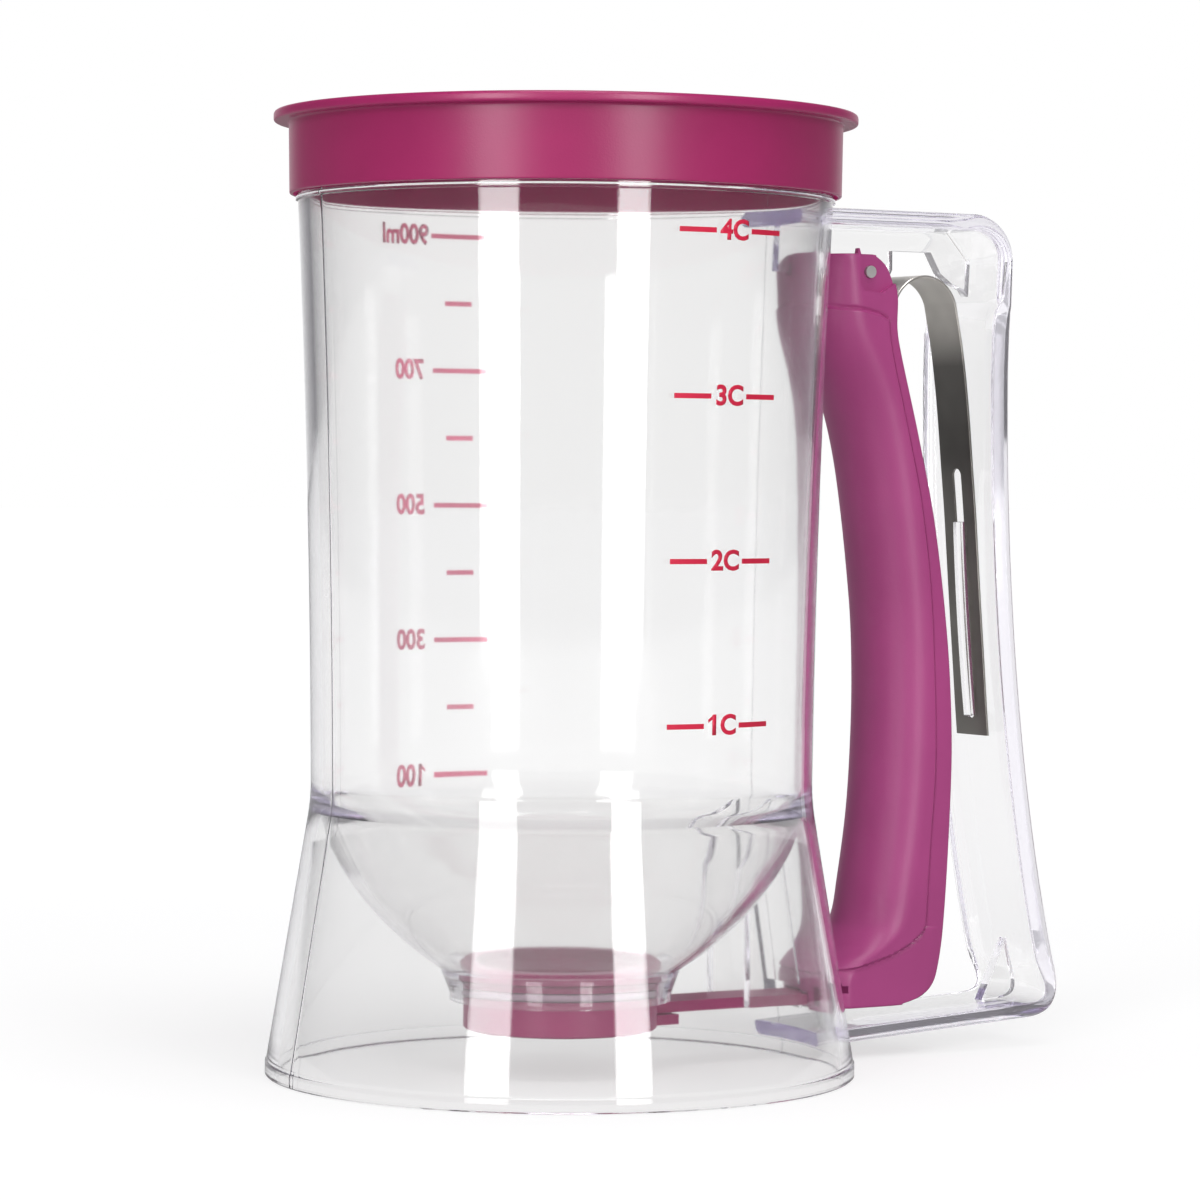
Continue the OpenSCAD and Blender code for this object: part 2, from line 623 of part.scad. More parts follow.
module trigger() {
    color([0.62, 0.26, 0.48])
    difference() {
        union() {
            loft([for (z = trigger_z) trigger_ring(z)], channel = true);
            difference() {
                union() {
                    trigger_end(nose_top_z, nose_outline);
                    trigger_end(head_z, head_outline);
                }
                channel_end(nose_top_z, nose_floor_z, nose_top_z);
                channel_end(head_z, head_z, head_roof_z);
            }
            pivot_rod(boss_r, boss_inset - strip_y, strip_y - boss_inset);
            for (side = [-1, 1])
                translate([0, side * (strip_y - nib_t), 0]) side_plate(nib_outline, nib_t);
        }
        pivot_rod(pin_r + pin_gap, -trigger_w, trigger_w);
        side_plate(web_slot_outline, web_slot_w);
        for (side = [-1, 1])
            translate([ear_x, side * (ear_face_y + ear_cut[1] / 2) - ear_cut[1] / 2, ear_z])
                cube(ear_cut);
        block(hook_x0 - pocket_gap, hook_x1 + pocket_gap, trigger_w + over, pocket_floor_z,
            hook_top_z + pocket_top_gap);
        block(hook_x0 - over, hook_x1 + pocket_gap, slot_w, trigger_low_z - over, notch_top_z);
    }
}

// ---- spring and pin -----------------------------------------------------------------------

leaf_gap = 0.1;
leaf_slot_z0 = 68.8;
leaf_slot_z1 = pivot_z - 40.2;
// Distance of the long leg from the grip bar's inner face, by height
leg_top_z = arch_mid[1] - 5;
leg_low_z = rib_top_z - 15.5;
standoff_table = [[leaf_foot_z, 0.4], [(leaf_foot_z + leg_low_z) / 2, 0], [leg_low_z, 0],
    [rib_top_z, 0.3], [pivot_z - 40.7, 0.9], [pivot_z - 26.7, 2], [leg_top_z, 3.9],
    [pivot_z - 5.9, 5.9]];
// Inner face of the grip bar at height z, on the middle plane: the wall is cut aslant
function grip_inner_x(z) = z >= grip_z ? grip_x - grip_t
    : let (t = grip_param(z), d = (grip_ctrl - grip_top) * (1 - t) + (grip_foot - grip_ctrl) * t)
    bend(grip_top, grip_ctrl, grip_foot, t)[0] + grip_t * norm(d) / d[1];
leg_steps = 11;
leg_z = [for (i = [0:leg_steps]) leaf_foot_z + (leg_top_z - leaf_foot_z) * i / leg_steps];
arch_mid_r = arch_r - leaf_t / 2;
arch_start = 17.7;
arch_end = 171.5;
short_leg_end = [pivot_x + 5.5, pivot_z - 37.7];
leaf_line = concat(
    [for (z = leg_z)
        [grip_inner_x(z) - leaf_gap - leaf_t / 2 - smooth(standoff_table, z), z]],
    arc_points(arch_mid, arch_mid_r, arch_start, arch_end, 16),
    [short_leg_end]
);
// Reach of the cut for the slot in the long leg
slot_x0 = grip_inner_x(leaf_slot_z1) - over;
slot_x1 = grip_inner_x(leaf_slot_z0) + over;
function leaf_side(d) = [for (i = [0:len(leaf_line) - 1]) leaf_line[i] + d * rightward(leaf_line, i)];

module leaf_spring() {
    color([0.55, 0.54, 0.53])
    difference() {
        side_plate(concat(leaf_side(leaf_t / 2), reversed(leaf_side(-leaf_t / 2))), leaf_w);
        translate([slot_x0, 0, 0]) rotate([90, 0, 90])
            linear_extrude(height = slot_x1 - slot_x0) {
                for (z = [leaf_slot_z0 + leaf_slot_w / 2, leaf_slot_z1 - leaf_slot_w / 2])
                    translate([0, z]) circle(r = leaf_slot_w / 2);
                translate([-leaf_slot_w / 2, leaf_slot_z0 + leaf_slot_w / 2])
                    square([leaf_slot_w, leaf_slot_z1 - leaf_slot_z0 - leaf_slot_w]);
            }
    }
}

module pivot_pin() {
    color([0.6, 0.6, 0.6]) pivot_rod(pin_r, -ear_face_y, ear_face_y);
}

vessel();
handle();
lid();
valve_ring();
outlet_seal();
valve_slide();
trigger();
leaf_spring();
pivot_pin();
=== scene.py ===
# %% [markdown]
# # A pancake batter dispenser in clear and plum plastic
#
# The imported CAD frame holds every piece at its real size. This script dresses it: the main
# plastic mouldings become smooth surfaces worked out with numpy, laid exactly where their CAD
# nodes are, the small pieces inside keep their imported solids, and each finish is a small node
# material. All lengths below are in millimetres, as on a drawing, and become metres only when a
# mesh is made.

# %% Load the frame
import math

import bmesh
import bpy
import numpy as np
from mathutils import Matrix, Vector


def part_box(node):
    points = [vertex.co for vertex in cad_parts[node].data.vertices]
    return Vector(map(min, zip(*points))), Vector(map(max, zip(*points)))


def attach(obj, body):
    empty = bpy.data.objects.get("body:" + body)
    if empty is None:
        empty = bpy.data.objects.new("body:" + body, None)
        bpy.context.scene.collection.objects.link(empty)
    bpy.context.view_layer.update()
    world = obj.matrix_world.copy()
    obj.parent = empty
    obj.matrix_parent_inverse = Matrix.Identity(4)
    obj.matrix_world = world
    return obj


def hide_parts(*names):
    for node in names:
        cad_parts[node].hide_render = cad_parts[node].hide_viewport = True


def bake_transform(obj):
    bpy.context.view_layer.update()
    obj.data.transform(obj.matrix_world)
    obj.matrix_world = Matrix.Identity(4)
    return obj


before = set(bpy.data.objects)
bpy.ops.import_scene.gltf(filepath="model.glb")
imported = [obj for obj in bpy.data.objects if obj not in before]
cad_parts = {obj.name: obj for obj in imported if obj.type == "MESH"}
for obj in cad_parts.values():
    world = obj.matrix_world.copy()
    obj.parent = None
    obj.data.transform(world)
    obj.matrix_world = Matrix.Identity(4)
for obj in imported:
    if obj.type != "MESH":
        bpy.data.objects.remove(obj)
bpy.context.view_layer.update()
MM = 0.001
_, vessel_top = (np.array(c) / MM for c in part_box("vessel"))
foot_r, rim_z = float(vessel_top[0]), float(vessel_top[2])
print("frame nodes:", sorted(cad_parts))
print("foot radius", round(foot_r, 2), "rim height", round(rim_z, 2))

# %% [markdown]
# ## Camera
#
# A long lens from a little under a metre, level with the middle of the vessel. It looks at
# the side where the handle points right and away. The camera is built from three directions:
# back towards the camera, right, and up, then tilted, turned and rolled by small angles.

# %% Camera
camera_distance, camera_height = 887.53, 119.72
camera_turn = math.radians(31.0)
camera_pitch, camera_yaw, camera_roll = (math.radians(a) for a in (1.616, 0.4777, 0.3976))
lens_mm, sensor_mm, far_clip = 133.42, 36.0, 20.0

forward = Vector((math.sin(camera_turn), math.cos(camera_turn), 0))
right = Vector((math.cos(camera_turn), -math.sin(camera_turn), 0))
up = Vector((0, 0, 1))


def turned(a, b, angle):
    """Two directions after both turn in their own plane: a cos + b sin, and b cos - a sin."""
    return a * math.cos(angle) + b * math.sin(angle), b * math.cos(angle) - a * math.sin(angle)


eye = (up * camera_height - forward * camera_distance) * MM
forward, up = turned(forward, up, -camera_pitch)
forward, right = turned(forward, right, camera_yaw)
right, up = turned(right, up, camera_roll)
lens = bpy.data.cameras.new("camera")
lens.lens, lens.sensor_width, lens.clip_end = lens_mm, sensor_mm, far_clip
camera = bpy.data.objects.new("camera", lens)
camera.matrix_world = Matrix.Translation(eye) @ Matrix((right, up, -forward)).transposed().to_4x4()
bpy.context.scene.collection.objects.link(camera)
bpy.context.scene.camera = camera
print("camera at", [round(v, 4) for v in eye])

# %% [markdown]
# ## Curves
#
# Outlines are arrays of [radius or x, height] points. Each comes from a few sizes by a formula
# for a bend, an arc or a smooth run through given sizes, so that a change of one size moves
# the whole outline with it.


# %% Curves
def bend(a, b, c, n):
    """Quadratic curve a (1-t)^2 + b 2t(1-t) + c t^2 at n + 1 even steps of t."""
    t = np.linspace(0, 1, n + 1)[:, None]
    return np.array(a) * (1 - t) ** 2 + np.array(b) * 2 * t * (1 - t) + np.array(c) * t**2


def arc(centre, r, start, end, n):
    """Points centre + r (cos, sin) from angle start to end, in degrees."""
    a = np.radians(np.linspace(start, end, n + 1))
    return np.array(centre) + r * np.stack([np.cos(a), np.sin(a)], 1)


def ramp(a, b, z):
    """0 below a, 1 above b and 3t^2 - 2t^3 between."""
    t = np.clip((np.asarray(z, float) - a) / (b - a), 0, 1)
    return t * t * (3 - 2 * t)


def smooth(table, z):
    """Smooth curve through [height, value] pairs: a cubic per span whose end slopes come from
    the neighbouring points."""
    p = np.array(table, float)
    i = np.arange(len(p))
    before, after = np.maximum(i - 1, 0), np.minimum(i + 1, len(p) - 1)
    slope = (p[after, 1] - p[before, 1]) / (p[after, 0] - p[before, 0])
    z = np.asarray(z, float)
    i = np.clip(np.searchsorted(p[:, 0], z, side="left") - 1, 0, len(p) - 2)
    h = p[i + 1, 0] - p[i, 0]
    t = (z - p[i, 0]) / h
    rise, m0, m1 = p[i + 1, 1] - p[i, 1], slope[i] * h, slope[i + 1] * h
    return p[i, 1] + m0 * t + (3 * rise - 2 * m0 - m1) * t**2 + (m0 + m1 - 2 * rise) * t**3


def rightward(path):
    """Unit vectors to the right of a path of points: its direction (dx, dz) turned to (dz, -dx)."""
    d = np.empty_like(path)
    d[1:-1] = path[2:] - path[:-2]
    d[0], d[-1] = path[1] - path[0], path[-1] - path[-2]
    d /= np.linalg.norm(d, axis=1)[:, None]
    return np.stack([d[:, 1], -d[:, 0]], 1)


longest_cut, least_cut = 0.45, 0.01  # of a side's length, and in mm


def rounded(outline, r, n=4):
    """A closed outline with each corner cut back by r, or by a corner's own value in a list,
    and bridged by a quadratic curve through the cut ends, drawn towards the corner."""
    p = np.array(outline, float)
    back, ahead = np.roll(p, 1, 0) - p, np.roll(p, -1, 0) - p
    back_l, ahead_l = (np.linalg.norm(side, axis=1) for side in (back, ahead))
    cut = np.minimum(np.broadcast_to(r, len(p)), np.minimum(back_l, ahead_l) * longest_cut)
    a = p + back / back_l[:, None] * cut[:, None]
    c = p + ahead / ahead_l[:, None] * cut[:, None]
    corners = [bend(a[i], p[i], c[i], n) if cut[i] > least_cut else p[i : i + 1]
               for i in range(len(p))]
    return np.concatenate(corners)


# %% [markdown]
# ## Meshes
#
# A surface is a grid of points, one row per step along the piece and one column per step
# round it. `skin` joins neighbours into faces that point outwards, and `lathe`, `plate`,
# `brick` and `rod` work out the grids that come up again and again.


# %% Meshes
same_place = 1e-7  # metres


def finish_mesh(name, mesh, crease):
    """Merges doubled points, turns faces outwards, and shades smoothly except over edges that
    are sharper than crease degrees."""
    edit = bmesh.new()
    edit.from_mesh(mesh)
    bmesh.ops.remove_doubles(edit, verts=edit.verts, dist=same_place)
    bmesh.ops.dissolve_degenerate(edit, edges=edit.edges, dist=same_place)
    bmesh.ops.recalc_face_normals(edit, faces=edit.faces)
    edit.to_mesh(mesh)
    edit.free()
    mesh.shade_smooth()
    mesh.set_sharp_from_angle(angle=math.radians(crease))
    piece = bpy.data.objects.new(name, mesh)
    bpy.context.scene.collection.objects.link(piece)
    return piece


def skin(name, grid, closed_rows=False, caps=False, crease=35):
    """Mesh of a grid of points, rows x columns x 3: each cell is one face between its four
    neighbours, and the last column joins the first. closed_rows joins the last row to the
    first, caps closes both ends."""
    rows, columns = grid.shape[:2]
    at = np.arange(rows * columns).reshape(rows, columns)
    if closed_rows:
        at = np.concatenate([at, at[:1]])
    at = np.concatenate([at, at[:, :1]], axis=1)
    faces = np.stack([at[:-1, :-1], at[:-1, 1:], at[1:, 1:], at[1:, :-1]], -1)
    faces = faces.reshape(-1, 4).tolist()
    if caps:
        faces += [at[0, :columns].tolist(), at[-1, columns - 1 :: -1].tolist()]
    mesh = bpy.data.meshes.new(name)
    mesh.from_pydata((grid.reshape(-1, 3) * MM).tolist(), [], faces)
    return finish_mesh(name, mesh, crease)


# %% Turned pieces
ridge_h, ridge_w = 0.07, 0.16
ridge_columns = np.array([-1.5, -0.7, 0, 0.7, 1.5])  # in ridge widths from its middle


def lathe(name, outline, steps, crease=35, ridges=()):
    """Closed outline of [r, z] turned about the axis: x = r cos a, y = r sin a, z = z. At each
    ridge angle the outer points, those up to the highest one, stand proud by
    ridge_h exp(-2 (across / ridge_w)^2)."""
    a = np.linspace(0, 2 * np.pi, steps, endpoint=False)
    r, z = np.array(outline).T
    side = ridge_columns * ridge_w / r.max()
    a = np.sort(np.concatenate([a, *(math.radians(angle) + side for angle in ridges)]))
    outer = np.zeros(len(r))
    outer[: int(np.argmax(z)) + 1] = 1.0
    radius = r[:, None] + np.zeros(len(a))
    for angle in ridges:
        across = (a - math.radians(angle)) * r.max() / ridge_w
        radius += ridge_h * outer[:, None] * np.exp(-(across**2) * 2)
    grid = np.stack([radius * np.cos(a), radius * np.sin(a), np.repeat(z[:, None], len(a), 1)], -1)
    return skin(name, grid, closed_rows=True, crease=crease)


# %% Flat and round stock
def plate(name, outline, t, y=0.0):
    """Outline of [x, z] as a flat plate of thickness t, its middle at y."""
    p = np.array(outline)
    row = np.stack([p[:, 0], np.zeros(len(p)), p[:, 1]], -1)
    return skin(name, np.stack([row + [0, y - t / 2, 0], row + [0, y + t / 2, 0]]), caps=True)


def brick(name, x, y, z):
    """Block between the limits in x, y and z."""
    p = np.array([[x[0], y[0]], [x[1], y[0]], [x[1], y[1]], [x[0], y[1]]], float)
    return skin(name, np.stack([np.column_stack([p, np.full(len(p), h)]) for h in z]), caps=True)


def rod(name, r, centre, y0, y1, steps=48):
    """Round bar along Y through centre [x, z]: x = cx + r cos a, z = cz + r sin a."""
    p = arc(centre, r, 0, 360 - 360 / steps, steps - 1)
    row = np.stack([p[:, 0], np.zeros(len(p)), p[:, 1]], -1)
    return skin(name, np.stack([row + [0, y0, 0], row + [0, y1, 0]]), caps=True)


# %% [markdown]
# ## Fusing and cutting
#
# Ribs, slots and bores are added to a finished surface or taken out of it as solids, as a
# toolmaker would mill them into the mould. The Manifold solver keeps the result closed.


# %% Fusing and cutting
def evaluated_mesh(thing):
    """A new mesh of an object as its modifiers or its type leave it."""
    bpy.context.view_layer.update()
    graph = bpy.context.evaluated_depsgraph_get()
    return bpy.data.meshes.new_from_object(thing.evaluated_get(graph))


def carve(piece, add=(), cut=(), crease=35):
    """Fuses the add solids to a piece and takes the cut solids out of it, for good."""
    for tool, operation in [(t, "UNION") for t in add] + [(t, "DIFFERENCE") for t in cut]:
        step = piece.modifiers.new(operation, "BOOLEAN")
        step.operation, step.solver, step.object = operation, "MANIFOLD", tool
        done = evaluated_mesh(piece)
        piece.modifiers.clear()
        piece.data = done
        bpy.data.objects.remove(tool)
    piece.data.shade_smooth()
    piece.data.set_sharp_from_angle(angle=math.radians(crease))
    return piece


def soften(piece, width, corner=40):
    """Rounds the edges that are sharper than corner degrees by a small width."""
    edit = bmesh.new()
    edit.from_mesh(piece.data)
    sharp = [e for e in edit.edges if e.calc_face_angle(0.0) > math.radians(corner)]
    bmesh.ops.bevel(edit, geom=sharp, offset=width * MM, segments=2, profile=0.5,
                    affect="EDGES", clamp_overlap=True)
    edit.to_mesh(piece.data)
    edit.free()
    return piece


def count(piece):
    """Prints how large a finished piece is."""
    print(piece.name, len(piece.data.polygons), "faces")
    return piece


# %% [markdown]
# ## Finishes
#
# Each finish is a small node tree. One helper, `wire`, makes a node and fills its sockets, so
# that a finish reads as a list of what it is made of. Patterns read Object coordinates, which
# are metres on this object and stay on the piece when it moves.


# %% Node helpers
def wire(tree, kind, sockets=None, **settings):
    """New shader node of a kind. sockets maps a socket's name or number to a plain value or to
    another node's output, and settings are the node's own properties."""
    node = tree.nodes.new("ShaderNode" + kind)
    for key, value in settings.items():
        setattr(node, key, value)
    for key, value in (sockets or {}).items():
        if isinstance(value, bpy.types.NodeSocket):
            tree.links.new(value, node.inputs[key])
        else:
            node.inputs[key].default_value = value
    return node


def maths(tree, operation, *values, clamp=False):
    """Output of a Math node whose inputs are the given numbers and outputs, in order."""
    node = wire(tree, "Math", dict(enumerate(values)), operation=operation, use_clamp=clamp)
    return node.outputs["Value"]


def colour_stops(tree, place, stops):
    """Colour read off (position, colour) stops at an output's value."""
    node = wire(tree, "ValToRGB", {"Fac": place})
    marks = node.color_ramp.elements
    marks.remove(marks[1])
    for i, (at, colour) in enumerate(stops):
        mark = marks.new(at) if i else marks[0]
        mark.position, mark.color = at, (*colour, 1)
    return node.outputs["Color"]


def grey(level):
    """A colour with the same level in red, green and blue."""
    return (level, level, level)


def shade(colour, factor):
    """A colour made lighter or darker by a factor."""
    return tuple(c * factor for c in colour)


# %% Patterns
def here(tree):
    """Where a point lies on its own object, in metres."""
    return wire(tree, "TexCoord").outputs["Object"]


def grain(tree, per_metre, depth, strength, stretch=(1, 1, 1)):
    """Bumped normal whose height is noise of a scale per metre and a depth in metres."""
    turn = wire(tree, "Mapping", {"Vector": here(tree), "Scale": stretch})
    noise = wire(tree, "TexNoise", {"Vector": turn.outputs["Vector"], "Scale": per_metre})
    bump = wire(tree, "Bump", {"Height": noise.outputs["Fac"], "Distance": depth,
                               "Strength": strength})
    return bump.outputs["Normal"]


drift_from, drift_to = 0.35, 0.65  # levels of the noise


def mottled(tree, per_metre, dark, light):
    """Colour that drifts between two near shades with a coarse noise."""
    noise = wire(tree, "TexNoise", {"Vector": here(tree), "Scale": per_metre})
    return colour_stops(tree, noise.outputs["Fac"], ((drift_from, dark), (drift_to, light)))


def new_material(name):
    """A node material without the nodes it starts with, and its node tree."""
    made = bpy.data.materials.new(name)
    made.use_nodes = True
    made.node_tree.nodes.clear()
    return made, made.node_tree


# %% [markdown]
# ### Clear plastic
#
# The clear moulding is one Principled glass with a faint waviness. Diffuse and shadow
# rays see a thin tinted film in its place, because glass would keep the lamps from what stands
# inside. The volume takes a little light per metre, so that long ways through the plastic,
# such as its edges, look tinted.

# %% Clear plastic
clear_ior, film_shade = 1.53, 0.93
waves = {"per_metre": 28, "depth": 0.0006, "strength": 0.10}


def clear_plastic(name, tint, roughness, clearness, depth_tint, depth_density):
    """Glass for rays that are seen, a film for diffuse and shadow rays, and a volume that
    absorbs depth_density per metre towards depth_tint."""
    made, tree = new_material(name)
    shown = wire(tree, "BsdfPrincipled", {
        "Base Color": (*tint, 1), "Roughness": roughness, "IOR": clear_ior,
        "Transmission Weight": clearness, "Normal": grain(tree, **waves),
    }).outputs["BSDF"]
    film = wire(tree, "BsdfTransparent", {"Color": (*shade(tint, film_shade), 1)})
    ray = wire(tree, "LightPath").outputs
    for kind in ("Is Diffuse Ray", "Is Shadow Ray"):
        mix = wire(tree, "MixShader", {"Fac": ray[kind], 1: shown, 2: film.outputs["BSDF"]})
        shown = mix.outputs["Shader"]
    depth = wire(tree, "VolumeAbsorption", {"Color": (*depth_tint, 1), "Density": depth_density})
    wire(tree, "OutputMaterial", {"Surface": shown, "Volume": depth.outputs["Volume"]})
    return made


clear = clear_plastic("clear plastic", tint=(0.966, 0.966, 0.960), roughness=0.04,
                      clearness=0.995, depth_tint=(0.72, 0.68, 0.81), depth_density=15.0)

# %% [markdown]
# ### Plum plastic, silicone and ink
#
# The plum parts are coloured right through, with the fine spark-eroded grain of their
# mould. The seal and the print are the same recipe with other values: the cup marks' ink is opaque,
# and the millilitre marks are printed so thinly that light comes through. The inner side of
# the lid is matt, and painted light makes it paler; painted shade makes the bore of the ring
# darker.

# %% Coloured plastic
plastic_ior, plastic_gloss, drift_per_metre, grain_strength = 1.5, 0.5, 45, 0.6


def moulded_plastic(name, colour, roughness, grain_per_metre=2600, grain_depth=0.00003,
                    spread=0.05, let_through=0.0, inner_side=None):
    """Plastic whose colour drifts by a share, spread, with a fine grain. inner_side gives a
    radius and a height in mm: closer to the axis and lower than that, the colour is multiplied
    by its tone, which is painted light above 1 and painted shade below 1, and it has its own
    roughness and gloss."""
    made, tree = new_material(name)
    tone = mottled(tree, drift_per_metre, shade(colour, 1 - spread), shade(colour, 1 + spread))
    sockets = {"Base Color": tone, "Roughness": roughness, "IOR": plastic_ior,
               "Transmission Weight": let_through,
               "Normal": grain(tree, grain_per_metre, grain_depth, grain_strength)}
    if inner_side:
        flat = wire(tree, "VectorMath", {0: here(tree), 1: (1, 1, 0)}, operation="MULTIPLY")
        reach = wire(tree, "VectorMath", {0: flat.outputs["Vector"]}, operation="LENGTH")
        split = wire(tree, "SeparateXYZ", {"Vector": here(tree)})
        near = maths(tree, "LESS_THAN", reach.outputs["Value"], inner_side["radius"] * MM)
        low = maths(tree, "LESS_THAN", split.outputs["Z"], inner_side["height"] * MM)
        within = maths(tree, "MULTIPLY", near, low)
        factor, rough, gloss = (
            maths(tree, "MULTIPLY_ADD", within, inner_side[key] - outer, outer)
            for key, outer in (("tone", 1.0), ("roughness", roughness), ("gloss", plastic_gloss))
        )
        # Painted light where the tone is above 1, painted shade where it is below 1.
        shaded = wire(tree, "VectorMath", {0: tone, "Scale": factor}, operation="SCALE")
        sockets |= {"Base Color": shaded.outputs["Vector"], "Roughness": rough,
                    "Specular IOR Level": gloss}
    body = wire(tree, "BsdfPrincipled", sockets)
    wire(tree, "OutputMaterial", {"Surface": body.outputs["BSDF"]})
    return made


# The lid's inner side is matt, and its tone of 1.8 is painted light that makes it paler.
lid_inside_matt_and_painted_light = {"radius": 54.2, "height": 189.6, "tone": 1.8, "roughness": 0.65, "gloss": 0.05}
# In the ring's bore, and on the shutter plate under it, the tone of 0.65 is painted shade.
ring_bore_painted_shade = {"radius": 17.1, "height": 30.0, "tone": 0.65, "roughness": 0.36, "gloss": 0.5}
lid_plum = moulded_plastic("lid plum", (0.322, 0.0135, 0.102), 0.31, inner_side=lid_inside_matt_and_painted_light)
trigger_plum = moulded_plastic("trigger plum", (0.375, 0.050, 0.200), 0.40)
valve_plum = moulded_plastic("valve plum", (0.32, 0.018, 0.12), 0.36, inner_side=ring_bore_painted_shade)
silicone = moulded_plastic("silicone", (0.50, 0.33, 0.43), 0.55, grain_per_metre=1800,
                           grain_depth=0.00002, spread=0.03)
ink = moulded_plastic("crimson ink", (0.58, 0.006, 0.045), 0.45, grain_per_metre=3500,
                      grain_depth=0.00001, spread=0.10)
thin_ink = moulded_plastic("thin crimson ink", (0.80, 0.16, 0.29), 0.45, grain_per_metre=3500,
                           grain_depth=0.00001, spread=0.14, let_through=0.9)

# %% [markdown]
# ### Steel
#
# Drawn steel shows fine lines along its length, which is noise stretched one way. The strip's
# lightness follows the height: it is darker along its legs, darkest near 130 mm, and has its
# full lightness from 154 mm up, over the arch.

# %% Steel
lightness_span = 200  # mm
steel_drift, steel_dark, steel_light = 60, 0.82, 1.15
drawn_lines = {"per_metre": 900, "depth": 0.00002, "strength": 0.5, "stretch": (1, 6, 0.08)}


def brushed_steel(name, colour, roughness, height_lightness=((0, 1.0),)):
    """Drawn metal whose lightness follows the height: each given pair is a height in mm and
    how much of the metal's own lightness is left there."""
    made, tree = new_material(name)
    tone = mottled(tree, steel_drift, shade(colour, steel_dark), shade(colour, steel_light))
    split = wire(tree, "SeparateXYZ", {"Vector": here(tree)})
    height = wire(tree, "MapRange", {"Value": split.outputs["Z"], "From Max": lightness_span * MM})
    left = colour_stops(tree, height.outputs["Result"],
                        [(z / lightness_span, grey(level)) for z, level in height_lightness])
    height_toned = wire(tree, "VectorMath", {0: tone, "Scale": left}, operation="SCALE")
    body = wire(tree, "BsdfPrincipled", {
        "Metallic": 1.0, "Base Color": height_toned.outputs["Vector"], "Roughness": roughness,
        "Normal": grain(tree, **drawn_lines)})
    wire(tree, "OutputMaterial", {"Surface": body.outputs["BSDF"]})
    return made


steel = brushed_steel("spring steel", (0.72, 0.69, 0.64), 0.30, height_lightness=(
    (60, 0.42), (100, 0.36), (130, 0.20), (143, 0.22), (154, 1.0)))
pin_steel = brushed_steel("pin steel", (0.60, 0.58, 0.57), 0.55)
print("materials:", [m.name for m in bpy.data.materials])


# %% Dressing a piece
def dress(piece, material):
    """Gives a piece one material."""
    piece.data.materials.clear()
    piece.data.materials.append(material)
    return piece


# %% [markdown]
# ## Clear vessel
#
# Barrel, funnel floor, outlet neck and flared skirt are one injection moulding of even wall.
# All of it is round, so a Screw modifier could turn its outline. It is turned here by formula,
# because clear plastic shows every uneven step between rows, and the rows have to lie where the
# curve needs them. The barrel's side is a slack curve, the waist an arc that meets the skirt's
# straight side, and the funnel is a quadratic curve on both of its faces.

# %% Vessel outline
foot_h, foot_step, wall = 2.7, 0.2, 2.2
waist_r, waist_z, waist_bend_r = 50.05, 58.5, 45.0
seat_r, seat_z, barrel_sag = 53.2, 173.5, 0.57
bowl_top_z, bowl_mid, bowl_t = 55.0, [42.0, 34.4], (1.9, 1.8, 1.3)
neck_r, neck_z, neck_seat_z, neck_lip_h = 22.2, 14.9, 20.0, 1.4
ring_r, neck_gap, lip_gap, ring_lip = 19.4, 0.3, 0.5, 1.0

# The skirt's side touches the waist's arc: the angle to the arc's centre and the angle whose
# sine is the arc's radius over that distance add up to a right angle and the lean.
skirt_run = waist_r + waist_bend_r - foot_r + foot_step
skirt_rise = waist_z - foot_h
to_centre = math.atan2(skirt_rise, skirt_run)
skirt_lean = to_centre + math.asin(waist_bend_r / math.hypot(skirt_run, skirt_rise)) - math.pi / 2
bend_foot_z = waist_z - waist_bend_r * math.sin(skirt_lean)


def side_r(z):
    """Outer radius below the waist: on the arc, waist_r + R - sqrt(R^2 - drop^2), and under
    bend_foot_z the straight skirt."""
    drop = np.minimum(waist_z - z, waist_bend_r)
    on_arc = waist_r + waist_bend_r - np.sqrt(waist_bend_r**2 - drop**2)
    on_skirt = foot_r - foot_step - (z - foot_h) * math.tan(skirt_lean)
    return np.where(z > bend_foot_z, on_arc, on_skirt)


skirt_z = np.concatenate([np.linspace(foot_h + 0.5, bend_foot_z, 12)[:-1],
                          np.linspace(bend_foot_z, waist_z, 14)])
skirt_side = np.stack([side_r(skirt_z), skirt_z], 1)
barrel_mid = [(waist_r + seat_r) / 2 - 2 * barrel_sag, (waist_z + seat_z) / 2]
barrel = bend([waist_r, waist_z], barrel_mid, [seat_r, seat_z], 26)
neck_bore_r = ring_r + neck_gap
neck_seat_r = ring_r + ring_lip + lip_gap
bowl_floor = bend([neck_seat_r, neck_seat_z + 1.3], bowl_mid,
                  [side_r(bowl_top_z) - wall, bowl_top_z], 40)
bowl = bowl_floor + rightward(bowl_floor) * np.interp(range(41), [0, 25, 40], bowl_t)[:, None]
bowl = bowl[(bowl[:, 0] < side_r(bowl[:, 1]) - wall) & (bowl[:, 0] > neck_r + 1)]
bowl_z = float(bowl[-1, 1])
inner_foot_r = side_r(foot_h) - wall
rim_round, foot_round = 0.5, 0.3
ledge = np.array([[0, 0], [0.45, 0.2], [0.5, 0.5], [0.45, 0.8], [0, 1.05]])
print("skirt leans", round(math.degrees(skirt_lean), 2), "degrees; bowl meets the wall at",
      round(bowl_z, 2))


def rows(*parts):
    """Several runs of points as one outline."""
    return np.concatenate([np.atleast_2d(np.array(p, float)) for p in parts])


